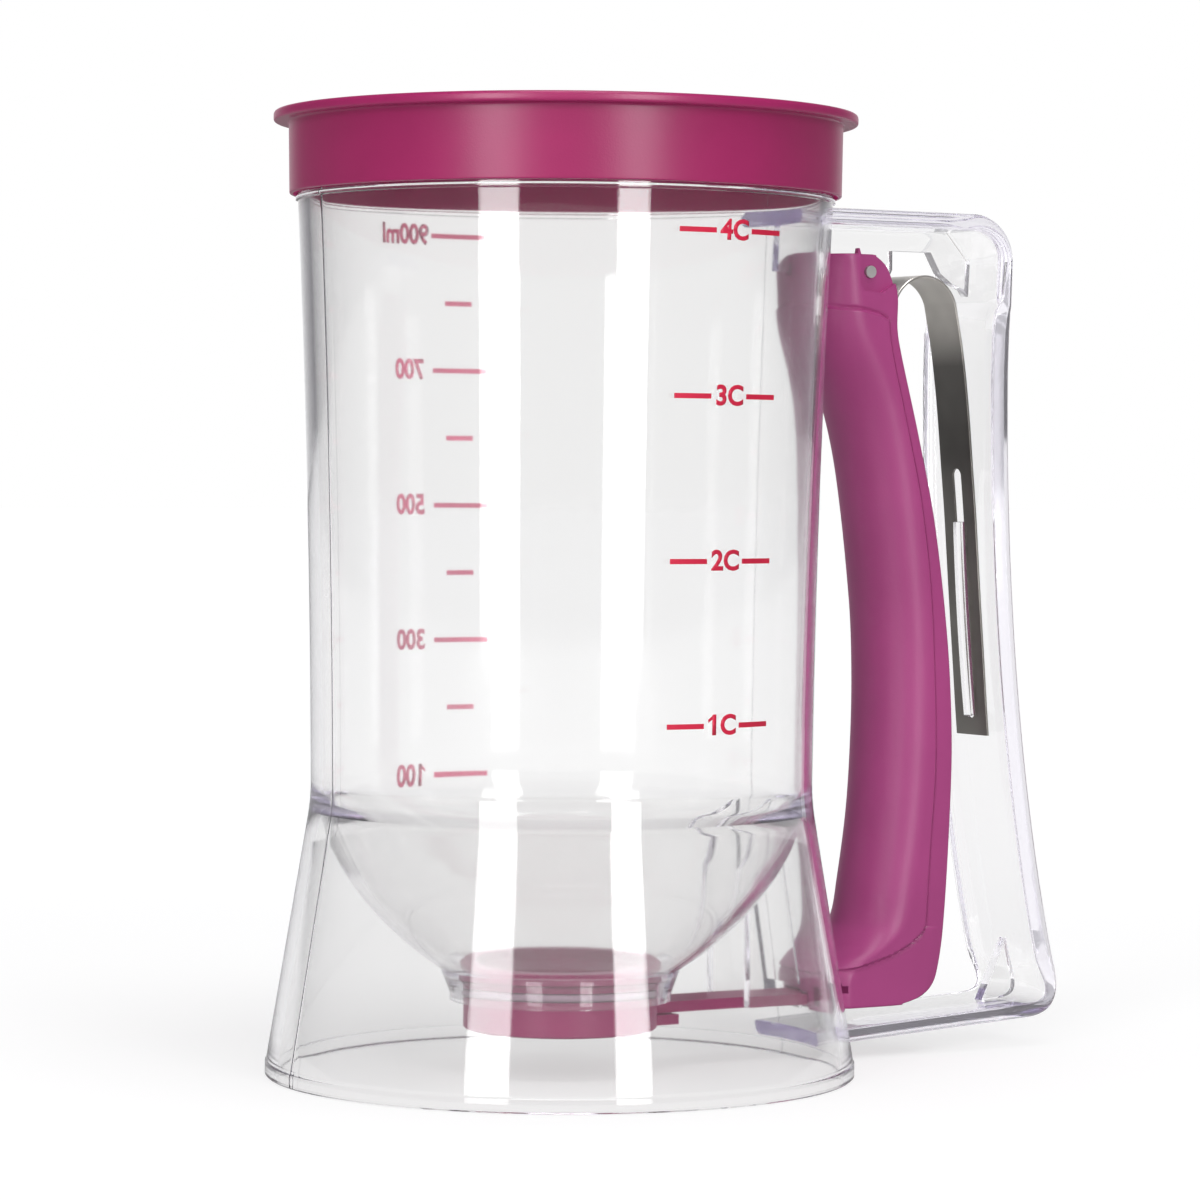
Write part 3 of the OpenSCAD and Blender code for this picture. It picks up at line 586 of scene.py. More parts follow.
# %% Vessel
vessel_outline = rows(
    [inner_foot_r, 0], [foot_r - foot_round, 0], [foot_r, foot_round], [foot_r, foot_h],
    [side_r(foot_h), foot_h + 0.2],
    skirt_side, barrel[1:-1], ledge + [seat_r, seat_z],
    [[seat_r, rim_z - rim_round], [seat_r - rim_round, rim_z], [seat_r - wall, rim_z]],
    (barrel - [wall, 0])[::-1], bowl_floor[::-1],
    [[neck_seat_r, neck_seat_z], [neck_bore_r, neck_seat_z], [neck_bore_r, neck_z]],
    [[neck_r, neck_z], [neck_r, neck_z + neck_lip_h]],
    bowl, [side_r(bowl_z) - wall, bowl_z + 1],
    skirt_side[skirt_side[:, 1] < bowl_z][::-1] - [wall, 0],
    [inner_foot_r, foot_h],
)
parting_angles, round_steps = (4.4, 176.0), 224
vessel = lathe("clear_moulding", vessel_outline, steps=round_steps, ridges=parting_angles)
count(vessel)

# %% [markdown]
# ## Guide plates and the slot for the arm
#
# Two thin plates hang between the funnel and the skirt and keep the shutter's arm straight.
# The arm leaves through a slot in the skirt. They are flat, so each is an outline with a
# thickness, whose edges follow the funnel's own points and run a little into its wall.

# %% Guides
shutter_z, shutter_t, arm_w, hook_h = 11.3, 2.2, 11.0, 1.5
guide_gap, guide_t, guide_x, guide_root = 0.4, 2.0, 40.5, 0.6
guide_low_z = shutter_z + 0.2
guide_y = arm_w / 2 + guide_gap + guide_t / 2
above = bowl[(bowl[:, 0] > guide_x + 1) & (bowl[:, 1] < bowl_z - 1)]
guide_top_z = float(np.interp(guide_x, bowl[:, 0], bowl[:, 1])) + guide_root
guide_outline = rows(
    [guide_x, guide_low_z], [side_r(guide_low_z) - wall + guide_root, guide_low_z],
    [side_r(bowl_z) - wall + guide_root, bowl_z],
    above[::-1] + [-guide_root, guide_root], [guide_x, guide_top_z],
)
slot_gap = 0.6
slot_y = arm_w / 2 + slot_gap
slot_z = (shutter_z - slot_gap, shutter_z + shutter_t + hook_h + slot_gap)
print("guides reach up to", round(guide_top_z, 2), "and the slot up to", round(slot_z[1], 2))
guides = [plate("guide", guide_outline, guide_t, side * guide_y) for side in (-1, 1)]
skirt_slot = brick("slot", (side_r(slot_z[1]) - wall - 5, foot_r + 5), (-slot_y, slot_y), slot_z)

# %% [markdown]
# ## Clear handle
#
# The handle is a strap of even width whose section is carried along a path: over the top,
# round the upper corner, down the slightly bowed grip and back along the foot. The strap's
# edges are rounded and stand above its middle on the grip. A sweep of a curve object could
# give the path, but not a section that changes, so the rows of points are worked out here.

# %% Handle path
strap_w, strap_top_z, grip_x, grip_z = 25.0, 174.4, 101.7, 142.0
heel_x, heel_z, heel_under_z = 115.0, 17.3, 6.1
top_bar_t, grip_t, grip_lip, base_bar_t, corner_r, web_t = 3.4, 4.0, 1.3, 3.0, 10.0, 2.4
pivot_x, pivot_z, pin_r = 67.1, 161.7, 1.25
corner_x, bar_slope, inside_x = grip_x + 0.7, 0.055, 40.0
heel_turn = np.array([heel_x + 2.6, heel_under_z + 0.5])
heel_in_x = heel_x - 7
grip_ctrl_z = heel_z + (heel_x - grip_x) * (heel_z - heel_turn[1]) / (heel_turn[0] - heel_x)
grip_top, grip_ctrl = np.array([grip_x, grip_z]), np.array([grip_x, grip_ctrl_z])
grip_foot = np.array([heel_x, heel_z])
grip_face = bend(grip_top, grip_ctrl, grip_foot, 44)
strap_path = rows(
    [[inside_x, strap_top_z], [60, strap_top_z], [75, strap_top_z], [84, strap_top_z]],
    arc([corner_x - corner_r, strap_top_z - corner_r], corner_r, 90, 0, 18),
    [[corner_x - 0.2, 157], [corner_x - 0.25, 155.5], [corner_x - 0.3, 154]],
    [corner_x - 0.45, 150],
    grip_face, bend(grip_foot, heel_turn, [heel_in_x, heel_under_z], 16)[1:],
    [[heel_in_x - 20, heel_under_z - 20 * bar_slope]],
    [[inside_x, heel_under_z - (heel_in_x - inside_x) * bar_slope]],
)
print("strap path has", len(strap_path), "points")

# %% Handle section
# Heights between which one size of the section turns into the next.
base_to_grip_z, grip_to_top_z = (7, 20), (160, 171)
lip_begins_z, lip_ends_z, evenly_round_z = (9, 22), (153, 156), (155, 158)
outer_round, even_round, sharp_r = 0.45, 0.48, 0.4
lip_flat, lip_slope = 0.5, 1.6


def strap_section(path):
    """Section across the strap at each path point: a flat outer face, corners rounded by
    r_out and r_in with a flat side between them, and an inner face that is t thick in the
    middle. Rows are path points, and a point of the section is path + rightward * depth, at y."""
    z = path[:, 1]
    t = base_bar_t + (grip_t - base_bar_t) * ramp(*base_to_grip_z, z)
    t += (top_bar_t - grip_t) * ramp(*grip_to_top_z, z)
    edge = t + grip_lip * ramp(*lip_begins_z, z) * (1 - ramp(*lip_ends_z, z))
    a = np.linspace(0, np.pi / 2, 7)
    upper = ramp(*evenly_round_z, z)[:, None]
    edge, t, half_w = edge[:, None], t[:, None], strap_w / 2
    r_out = edge * (outer_round + (even_round - outer_round) * upper)
    r_in = sharp_r + (edge * even_round - sharp_r) * upper
    lip_y = half_w - edge / 2 - lip_flat
    depth = np.concatenate([r_out - r_out * np.cos(a), edge - r_in + r_in * np.sin(a), edge, t], 1)
    y = np.concatenate([half_w - r_out + r_out * np.sin(a), half_w - r_in + r_in * np.cos(a),
                        lip_y, lip_y - lip_slope], 1)
    depth = np.concatenate([depth, depth[:, ::-1]], 1)
    y = np.concatenate([y, -y[:, ::-1]], 1)
    n = rightward(path)
    return np.stack([path[:, :1] + n[:, :1] * depth, y, path[:, 1:] + n[:, 1:] * depth], -1)


strap = count(skin("strap", strap_section(strap_path), caps=True))

# %% [markdown]
# ## Web, rib and gusset
#
# A web under the top bar holds the trigger's pin, a rib keeps the spring straight, and a small
# gusset stiffens the lower corner. All three are flat plates on the handle's middle plane. The
# rib has to follow the grip, so its outline comes from the grip's own curve.

# %% Web
ear_r, web_low_z = 4.4, pivot_z - 0.1
notch_x, notch_z = (78.7, 88.5), 166.7
web_outline = rows(
    [inside_x, web_low_z], [pivot_x - ear_r, web_low_z],
    arc([pivot_x, pivot_z], ear_r, 180, 310, 20),
    [[76.2, 158.4], [77.6, 160.6], [notch_x[0], 162.7], [notch_x[0], notch_z]],
    [[notch_x[1], notch_z], [91.1, 162.3], [94, 160.3], [97.1, 159.1], [98.3, 157.6]],
    [[corner_x - grip_t + 1, 157.6], [corner_x - grip_t + 1, strap_top_z - corner_r]],
    [corner_x - corner_r, strap_top_z - top_bar_t + 1],
    [inside_x, strap_top_z - top_bar_t + 1],
)
web_round = 0.45
web = count(soften(plate("web", web_outline, web_t), web_round))

# %% Rib and gusset
grip_a, grip_b = grip_z - 2 * grip_ctrl_z + heel_z, 2 * (grip_ctrl_z - grip_z)


def grip_line(z0, z1, depth, n):
    """Points at a depth behind the grip's outer face from height z0 to z1, where the curve's
    parameter t solves a t^2 + b t + (grip_z - z) = 0."""
    z = np.linspace(z0, z1, n + 1)
    t = (-grip_b - np.sqrt(grip_b**2 - 4 * grip_a * (grip_z - z))) / (2 * grip_a)
    t = t[:, None]
    p = grip_top * (1 - t) ** 2 + grip_ctrl * 2 * (t * (1 - t)) + grip_foot * t**2
    return p + depth * rightward(p)


leaf_slot_w = 3.0
rib_w, rib_h, rib_z, root = leaf_slot_w - 0.5, 1.7, (110.5, 70), 0.6
rib_outline = rows(grip_line(*rib_z, grip_t - root, 12),
                   grip_line(*rib_z, grip_t + rib_h, 12)[::-1])
gusset_outline = [[heel_x - 4.6, 23], [heel_x - 12, 7.8], [heel_x - 3, 7.8], [heel_x - 2, 16]]
rib = count(plate("rib", rib_outline, rib_w))
gusset = count(plate("gusset", gusset_outline, web_t))

# %% [markdown]
# ## One clear moulding
#
# Glass shows every face inside it, so the handle may not run into the vessel's wall as a piece
# of its own. It is cut off at the middle of the wall and then fused with it, which leaves one
# closed skin. The same step adds the guide plates and takes out the slot and the pin's hole.

# %% Fuse the clear moulding
core_outline = rows([[0, -1], [foot_r - wall, -1], [foot_r - wall, foot_h]],
                    skirt_side - [wall / 2, 0], barrel[1:] - [wall / 2, 0],
                    [[seat_r - wall / 2, rim_z + 1], [0, rim_z + 1]])
core = lathe("core", core_outline, steps=round_steps)
handle = carve(strap, add=[web, rib, gusset], cut=[core])
pin_hole = rod("pin_hole", pin_r, (pivot_x, pivot_z), -3, 3)
carve(vessel, add=guides + [handle], cut=[skirt_slot, pin_hole], crease=32)
dress(vessel, clear)
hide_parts("vessel", "handle")
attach(vessel, "vessel_body")
count(vessel)

# %% [markdown]
# ## Lid
#
# A press-on lid in plum plastic: a plate that overhangs all round, a band outside the
# vessel's rim and a short plug ring inside it. Cylinders stacked on each other would leave
# faces inside, so it is one turned outline too, with each corner softened by its own amount.

# %% Lid
lid_r, lid_t, lid_band_z, lid_wall, lid_gap, plug_h, plug_t = 58.1, 2.0, 174.95, 1.4, 0.3, 4.0, 1.4
lid_in_r, plug_r = seat_r + lid_gap, seat_r - wall - lid_gap
lid_out_r, lid_draft = lid_in_r + lid_wall, 0.2
lid_outline = [
    [0, rim_z], [plug_r - plug_t, rim_z],
    [plug_r - plug_t, rim_z - plug_h], [plug_r - 0.4, rim_z - plug_h],
    [plug_r, rim_z - plug_h + 1], [plug_r, rim_z], [lid_in_r, rim_z], [lid_in_r, lid_band_z],
    [lid_out_r, lid_band_z], [lid_out_r + lid_draft, rim_z], [lid_r, rim_z], [lid_r, rim_z + lid_t],
    [0, rim_z + lid_t],
]
lid_round = [0, 0.2, 0.2, 0, 0, 0.2, 0.2, 0.2, 0.35, 0.5, 0.55, 0.8, 0]
lid = lathe("lid_moulding", rounded(lid_outline, lid_round), steps=256, crease=40)
dress(lid, lid_plum)
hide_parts("lid")
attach(lid, "lid")
count(lid)

# %% [markdown]
# ## Trigger
#
# The trigger is a channel: a rounded front, two cheeks and an open back. A subdivided cage
# could give its soft form, but not sizes that can be named. Its front edge, its back edge and
# the depth of its rounding all change with height, so each is a smooth curve through a few
# sizes, and the surface is one section per height. A grip panel stands 0.6 mm proud between
# two steps, with a fine groove along them.

# %% Trigger sizes
trigger_low_z, trigger_top_z, trigger_w, trigger_wall = 10.3, pivot_z + 3.6, 23.0, 2.0
panel_h, panel_edge, groove, groove_w, trigger_gap = 0.6, 0.45, 0.35, 0.3, 0.4
groove_under, groove_over = 0.25, 0.7
step_runs, step_drop, front_share = (0.12, 0.4, 0.8), 0.1, 0.5
hook_x, hook_t = 61.4, 1.6
hook_x0, hook_x1 = hook_x - hook_t / 2, hook_x + hook_t / 2
front_table = [[trigger_low_z, 58.2], [13, 58.1], [17.5, 58.3], [20, 60.4], [23, 64.6], [27, 68],
               [35, 69.7], [50, 71.9], [66, 72.9], [80, 73], [94, 72.2], [120, 68.6], [134, 65],
               [142, 61.2], [148, 58.4], [153, 57.2], [trigger_top_z, 56.8]]
back_table = [[trigger_low_z, 74.5], [11.5, 79.8], [13.5, 83.2], [17, 85.0], [27, 86.6],
              [52, 88.1], [66, 88.3], [85, 87.1], [110, 83.5], [128.4, 79.1], [145, 74.6],
              [150, 73.6], [157, 73.6], [160.5, 72.6], [163.4, 70.9], [trigger_top_z, 68.2]]
round_table = [[trigger_low_z, 5], [17, 5.5], [27, 8.5], [40, 9], [140, 9], [153, 8],
               [trigger_top_z, 6]]
step_table = [[trigger_low_z, 81.1], [25, 81.2], [27.5, 81.4], [42.5, 82.3], [61, 83.5],
              [85.2, 82.7], [100, 81.5], [115, 79.2], [122, 77.6], [134.6, 74.4], [145, 71.7],
              [151.3, 70.8], [trigger_top_z, 70.8]]
panel_foot = [[58, 17.9], [61.5, 18.1], [66.3, 18.9], [73.4, 20.8], [78, 22.9], [80.6, 24.9],
              [82, 27]]
panel_head = [[57, 154.6], [60, 153.8], [65, 153.4], [69, 152.6], [71.5, 151.2]]
strip_y = trigger_w / 2 - panel_h
nose_floor_z, head_roof_z, nose_back_x = 13.0, 162.3, hook_x1 + trigger_gap + 2.2
edge_r = 0.5
print("trigger from", trigger_low_z, "to", round(trigger_top_z, 2), "and hook at", hook_x)


# %% Trigger section
def trigger_half(z):
    """Half of the outside at heights z, as [x, y] per column: a quarter ellipse for the front,
    the flat side, the step at the back of the panel, the strip behind it and the rounded back
    edge. A point is on the panel where its height lies between the lines panel_foot and
    panel_head, and there it stands panel_h prouder. The groove round the panel is a bell curve,
    exp(-(distance / groove_w)^2)."""
    front, depth, back = smooth(front_table, z), smooth(round_table, z), smooth(back_table, z)
    step_x = np.maximum(np.minimum(smooth(step_table, z), back - 1), front + depth + 0.1)
    a = np.radians(np.linspace(0, 90, 13))[:, None]
    turn = np.radians(np.linspace(0, 90, 4))[:, None]
    along = np.linspace(0, 1, 15)[1:, None]
    x = np.concatenate([front + depth * (1 - np.cos(a)),
                        front + depth + (step_x - front - depth) * along])
    foot, head = (np.interp(x, *np.array(line).T) for line in (panel_foot, panel_head))
    raised = ramp(0, panel_edge, z - foot) * (1 - ramp(0, panel_edge, z - head))
    dip = np.exp(-(((z - foot + groove_under) / groove_w) ** 2))
    dip += np.exp(-(((z - head - groove_over) / groove_w) ** 2))
    side = strip_y + panel_h * raised - groove * dip
    x = [x + front_share * panel_h * (1 - raised) * (x < front + depth),
         *(step_x[None] + run for run in step_runs), back - edge_r + edge_r * np.sin(turn)]
    y = [side * np.concatenate([np.sin(a), 1 + 0 * along]),
         side[-1:] - step_drop * raised[-1:], strip_y - groove * raised[-1:],
         strip_y + 0 * z[None], strip_y - edge_r + edge_r * np.cos(turn) + 0 * z]
    return np.concatenate(x), np.concatenate(y)


def channel_half(z):
    """Half of the inside at heights z: the front's ellipse one wall in, then straight back."""
    front = np.maximum(smooth(front_table, z) + trigger_wall, nose_back_x)
    depth = smooth(round_table, z) - 0.5 * trigger_wall
    a = np.radians(np.linspace(0, 90, 13))[:, None]
    y = strip_y - trigger_wall
    x = [front + depth * (1 - np.cos(a)), smooth(back_table, z)[None] + 5]
    return np.concatenate(x), np.concatenate([y * np.sin(a) + 0 * z, y + 0 * z[None]])


def section_grid(half, z):
    """Rows of points at heights z: the half outline and its mirror image."""
    x, y = half(z)
    x, y = np.concatenate([x[::-1], x[1:]]), np.concatenate([-y[::-1], y[1:]])
    return np.stack([x.T, y.T, np.repeat(z[:, None], len(x), 1)], -1)


def shrunk(grid, amount):
    """A row of the grid drawn towards its own middle by an amount on each side."""
    middle = (grid.max(0) + grid.min(0)) / 2
    half = (grid.max(0) - grid.min(0)) / 2
    scale = np.where(half > 0, (half - amount) / np.maximum(half, 1e-9), 1)
    return middle + (grid - middle) * scale


# %% Trigger surfaces
end_round, end_in, end_up = 0.4, 0.1, 0.28
first_z, last_z = trigger_low_z + end_round, trigger_top_z - end_round
trigger_z = np.unique(np.concatenate([
    [first_z], np.linspace(11, 17.5, 12), np.linspace(17.5, 28, 60), np.linspace(28, 150, 84),
    np.linspace(150, 156, 36), np.linspace(156, 165, 12)]))
trigger_z = np.append(trigger_z[trigger_z < last_z], last_z)
solid = section_grid(trigger_half, trigger_z)
foot_row, top_row = section_grid(trigger_half, np.array([trigger_low_z, trigger_top_z]))
solid = np.concatenate([
    [shrunk(foot_row, end_round)], [shrunk(solid[0], end_in) - [0, 0, end_up]], solid,
    [shrunk(solid[-1], end_in) + [0, 0, end_up]], [shrunk(top_row, end_round)]])
channel_z = np.concatenate([np.linspace(nose_floor_z, 28, 22), np.linspace(28, 150, 84)[1:],
                            np.linspace(150, head_roof_z, 16)[1:]])
trigger = count(skin("trigger_moulding", solid, caps=True))
channel = count(skin("channel", section_grid(channel_half, channel_z), caps=True))

# %% [markdown]
# ### Cuts in the trigger
#
# The channel is open at the back. At the top, a slot clears the handle's web, two shallow
# recesses surround the pin and a boss carries it. At the foot, a pocket drops over the
# shutter's cross head, and a notch lets the shutter's arm in.

# %% Trigger details
boss_r, pin_gap, ear_face_y, boss_inset = 3.3, 0.05, strip_y - 1.3, 1.35
ear_x = pivot_x - 3.1
ear_outline = np.array([[-3.1, 9], [-3.1, -2.4], [-2.2, -3.9], [2.4, -4.3], [6.5, -1.9],
                        [13, -1.9], [13, 9]])
web_slot_z = web_low_z - trigger_gap - 0.3
web_slot_ear = [pivot_x - ear_r - 1, pivot_z - ear_r - trigger_gap]
web_slot = plate("web_slot", [
    [pivot_x - 14, web_slot_z], [web_slot_ear[0], web_slot_z], web_slot_ear,
    [pivot_x + 10, web_slot_ear[1]], [pivot_x + 10, trigger_top_z + 5],
    [pivot_x - 14, trigger_top_z + 5]], web_t + 2 * trigger_gap)
nib_t, nib_round, ear_cut_t, ear_round = 1.6, 0.25, 4, 0.5
nib_outline = [[ear_x, trigger_top_z - 0.5], [ear_x + 1.2, trigger_top_z - 0.5],
               [ear_x + 0.6, trigger_top_z + 1.2], [ear_x + 0.3, trigger_top_z + 1.2]]
nibs = [plate("nib", rounded(nib_outline, nib_round), nib_t, side * (strip_y - nib_t))
        for side in (-1, 1)]
ear_cuts = [plate("ear", rounded(ear_outline, ear_round) + [pivot_x, pivot_z], ear_cut_t,
                  side * (ear_face_y + ear_cut_t / 2)) for side in (-1, 1)]
pocket_gap, pocket_wall = 0.45, 0.9
pocket_x, pocket_y = (hook_x0 - pocket_gap, hook_x1 + pocket_gap), strip_y - pocket_wall
hook_pocket = brick("pocket", pocket_x, (-pocket_y, pocket_y),
                    (shutter_z + 0.1, shutter_z + shutter_t + hook_h + 0.5))
hook_window = brick("window", pocket_x, (-trigger_w, trigger_w),
                    (shutter_z + shutter_t, shutter_z + shutter_t + hook_h))
arm_notch = brick("arm_notch", (hook_x0 - 5, hook_x1 + pocket_gap), (-slot_y, slot_y),
                  (trigger_low_z - 5, shutter_z + shutter_t + 0.6))
boss = rod("boss", boss_r, (pivot_x, pivot_z), boss_inset - strip_y, strip_y - boss_inset)
bore = rod("bore", pin_r + pin_gap, (pivot_x, pivot_z), -trigger_w, trigger_w)
carve(trigger, cut=[channel], crease=40)
carve(trigger, add=[boss] + nibs, crease=40,
      cut=[bore, web_slot, hook_pocket, hook_window, arm_notch] + ear_cuts)
dress(trigger, trigger_plum)
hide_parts("trigger")
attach(trigger, "trigger")
count(trigger)

# %% [markdown]
# ## Leaf spring
#
# One strip of spring steel: a long leg held against the grip, an arch over the top and a
# short leg that presses on the trigger. A flat ribbon with a Solidify modifier would do, but
# a line offset to both sides gives the thickness and the eased edges in one step. When the
# trigger is pulled, the arch closes; here the strip is one fixed piece, tied to neither body.

# %% Leaf spring
leaf_w, leaf_t, arch_r, leaf_gap = 11.0, 0.5, 8.25, 0.1
leaf_foot_z, leaf_slot = 65.3, (68.8, 121.5)
leg_top_z, slot_run = 148.4, (90, 106)
standoff_table = [[leaf_foot_z, 0.4], [81, 0], [95, 0], [110.5, 0.3], [121, 0.9], [135, 2],
                  [leg_top_z, 3.9], [155.8, 5.9]]


def grip_inner_x(z):
    """Inner face of the grip on its middle line: straight above grip_z, the curve below, where a
    level cut through the wall is t sqrt(1 + slope^2) long."""
    curve = grip_line(grip_z, leaf_foot_z - 10, 0.0, 200)
    slope = np.gradient(curve[:, 0], curve[:, 1])
    inner = curve[:, 0] - grip_t * np.sqrt(1 + slope**2)
    return np.interp(-z, -curve[:, 1], inner, left=grip_x - grip_t)


leg_z = np.linspace(leaf_foot_z, leg_top_z, 40)
leg_x = grip_inner_x(leg_z) - leaf_gap - leaf_t / 2 - smooth(standoff_table, leg_z)
leg = np.stack([leg_x, leg_z], 1)
arch_centre, arch_from, arch_to = [grip_x - 17.4, pivot_z - 8.3], 17.7, 171.5
arch = arc(arch_centre, arch_r - leaf_t / 2, arch_from, arch_to, 40)
tip = np.array([72.6, 124.0])
leaf_line = rows(leg, arch, arch[-1] + (tip - arch[-1]) * np.linspace(0, 1, 16)[1:, None])


def strip(name, line, w, t):
    """Flat strip along a line of [x, z]: its section is a rectangle w wide and t thick with
    eased corners, at line + rightward * depth."""
    ease = 0.12
    t, w = t / 2, w / 2
    depth = np.array([t, t, t - ease, ease - t, -t, -t, ease - t, t - ease])
    y = np.array([ease - w, w - ease, w, w, w - ease, ease - w, -w, -w])
    n = rightward(line)
    grid = np.stack([line[:, :1] + n[:, :1] * depth, np.repeat(y[None], len(line), 0),
                     line[:, 1:] + n[:, 1:] * depth], -1)
    return skin(name, grid, caps=True, crease=30)


leaf = strip("spring_strip", leaf_line, leaf_w, leaf_t)
slot_y0 = leaf_slot_w / 2
slot_line = rows(arc([0, leaf_slot[1] - slot_y0], slot_y0, 0, 180, 16),
                 arc([0, leaf_slot[0] + slot_y0], slot_y0, 180, 360, 16))
slot_row = np.stack([np.zeros(len(slot_line)), slot_line[:, 0], slot_line[:, 1]], -1)
leaf_cut = skin("leaf_cut", np.stack([slot_row + [x, 0, 0] for x in slot_run]), caps=True)
carve(leaf, cut=[leaf_cut], crease=30)
dress(leaf, steel)
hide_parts("leaf_spring")
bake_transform(leaf)
count(leaf)

# %% [markdown]
# ## Valve, seal and pin
#
# These pieces sit behind clear walls or in a bore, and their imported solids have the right
# shape already, so they only need their finish.

# %% Carried-over pieces
for node, material in [("valve_ring", valve_plum), ("valve_slide", valve_plum),
                       ("outlet_seal", silicone), ("pivot_pin", pin_steel)]:
    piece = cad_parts[node]
    dress(piece, material)
    print(node, "dressed in", material.name)

# %% [markdown]
# ## Print
#
# The cup marks are on the near side and the millilitre marks on the far side, where they are
# read through the vessel. An image of the marks would blur close up, so the print is made of
# thin solids. Each mark is flat type or a bar, cut fine and then wrapped round the barrel: a
# width across becomes an angle, x = r cos(a), with a = a0 + across / r.

# %% Print helpers
barrel_line = barrel[:, ::-1]
ink_lift, ink_t, ink_step, widest, ink_merge = 0.02, 0.03, 0.8, 14, 1e-4
bolder = 0.034  # of the type's height, all round


def letters(text, size, wide):
    """Filled type of a height, stretched sideways by wide. A 1 at the start gets the flag that
    the plain typeface leaves off."""
    curve = bpy.data.curves.new("type", "FONT")
    curve.body, curve.size, curve.align_x, curve.align_y = text, size, "CENTER", "CENTER"
    curve.offset = size * bolder
    curve.resolution_u = 4
    holder = bpy.data.objects.new("type", curve)
    bpy.context.scene.collection.objects.link(holder)
    mesh = evaluated_mesh(holder)
    bpy.data.objects.remove(holder)
    edit = bmesh.new()
    edit.from_mesh(mesh)
    if text[0] == "1":
        left, top = min(v.co.x for v in edit.verts), max(v.co.y for v in edit.verts)
        flag = [(0.06, 0.0), (0.06, -0.15), (-0.17, -0.31), (-0.17, -0.19), (-0.03, -0.08)]
        edit.faces.new([edit.verts.new((left + x * size, top + y * size, 0))
                        for x, y in flag[::-1]])
    bmesh.ops.scale(edit, vec=(wide, 1, 1), verts=edit.verts)
    edit.to_mesh(mesh)
    edit.free()
    return mesh


def bar_mesh(width, height):
    """A flat bar as a mesh."""
    mesh = bpy.data.meshes.new("bar")
    x, y = width / 2, height / 2
    mesh.from_pydata([(-x, -y, 0), (x, -y, 0), (x, y, 0), (-x, y, 0)], [], [(0, 1, 2, 3)])
    return mesh


def print_mark(meshes):
    """Joins flat meshes, given as (mesh, across, azimuth, z), cuts them every ink_step and wraps
    them round the barrel with a thickness: the angle is azimuth + (x + across) / r, where r is
    the barrel's radius at the height z + y."""
    joined = bmesh.new()
    for mesh, across, azimuth, z in meshes:
        flat = bmesh.new()
        flat.from_mesh(mesh)
        bmesh.ops.remove_doubles(flat, verts=flat.verts, dist=ink_merge)
        for x in np.arange(-widest, widest, ink_step):
            bmesh.ops.bisect_plane(flat, geom=flat.verts[:] + flat.edges[:] + flat.faces[:],
                                   plane_co=(x, 0, 0), plane_no=(1, 0, 0))
        spread = bmesh.ops.extrude_face_region(flat, geom=flat.faces[:] + flat.edges[:])
        top = [v for v in spread["geom"] if isinstance(v, bmesh.types.BMVert)]
        bmesh.ops.translate(flat, vec=(0, 0, ink_t), verts=top)
        part = bpy.data.meshes.new("part")
        flat.to_mesh(part)
        flat.free()
        co = np.empty(3 * len(part.vertices), np.float32)
        part.vertices.foreach_get("co", co)
        x, y, lift = co.astype(float).reshape(-1, 3).T
        h = z + y
        r = np.interp(h, barrel_line[:, 0], barrel_line[:, 1])
        a = math.radians(azimuth) + (x + across) / r
        r += ink_lift + lift
        wrapped = np.stack([r * np.cos(a), r * np.sin(a), h], 1) * MM
        part.vertices.foreach_set("co", wrapped.astype(np.float32).ravel())
        joined.from_mesh(part)
    bmesh.ops.recalc_face_normals(joined, faces=joined.faces)
    return joined


def print_piece(name, meshes, colour):
    """All marks of one scale as one piece, in an ink."""
    mesh = bpy.data.meshes.new(name)
    joined = print_mark(meshes)
    joined.to_mesh(mesh)
    joined.free()
    piece = bpy.data.objects.new(name, mesh)
    bpy.context.scene.collection.objects.link(piece)
    dress(piece, colour)
    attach(piece, "vessel_body")
    return count(piece)


# %% Cup marks
cup_azimuth, cup_pitch, cup_top_z = 276.6, 31.4, 166.15
cup_type_h, cup_type_wide, bar_h, cup_bar_w, cup_bar_at = 5.3, 1.08, 1.0, 8.1, (-8.5, 8.2)
cup_marks = []
for i in range(4):
    z = cup_top_z - i * cup_pitch
    cup_marks.append((letters(f"{4 - i}C", cup_type_h, cup_type_wide), 0.0, cup_azimuth, z))
    for across in cup_bar_at:
        cup_marks.append((bar_mesh(cup_bar_w, bar_h), across, cup_azimuth, z))
print_piece("cup_marks", cup_marks, ink)

# %% Millilitre marks
scale_azimuth, scale_top_z, scale_pitch = 85.2, 169.25, 28.1
scale_type_h, scale_type_wide, long_w, short_w = 5.7, 0.93, 12.8, 6.4
type_at, first_type_at = 12.7, 13.6
scale_marks = []
for i, number in enumerate(("900ml", "700", "500", "300", "100")):
    z = scale_top_z - i * scale_pitch
    scale_marks.append((bar_mesh(long_w, bar_h), 0.0, scale_azimuth, z))
    scale_marks.append((letters(number, scale_type_h, scale_type_wide),
                        type_at if i else first_type_at, scale_azimuth, z))
    if i:
        scale_marks.append((bar_mesh(short_w, bar_h), 0.0, scale_azimuth, z + scale_pitch / 2))
print_piece("millilitre_marks", scale_marks, thin_ink)

# %% [markdown]
# ## Floor
#
# The floor is a wide white sweep. White paint under lamps would need strong lamps, so the floor
# gives most of its whiteness as light of its own, a little less near the object, and only
# bounces some of the lamps' light, which is where the shadow shows. Diffuse rays don't see its
# own light, so it doesn't light the object from below, and the first reflection of the
# floor in the plastic's outside is dimmed.

# %% Floor
floor_half, floor_z, floor_bounce, floor_mirrored = 12.0, -0.0002, 0.45, 0.15
floor_own = ((0.0, 0.56), (0.5, 0.68), (1.0, 0.74), (2.0, 0.81), (4.0, 0.85))
more_than_once, more_than_four = 1.5, 4.5  # between two whole counts

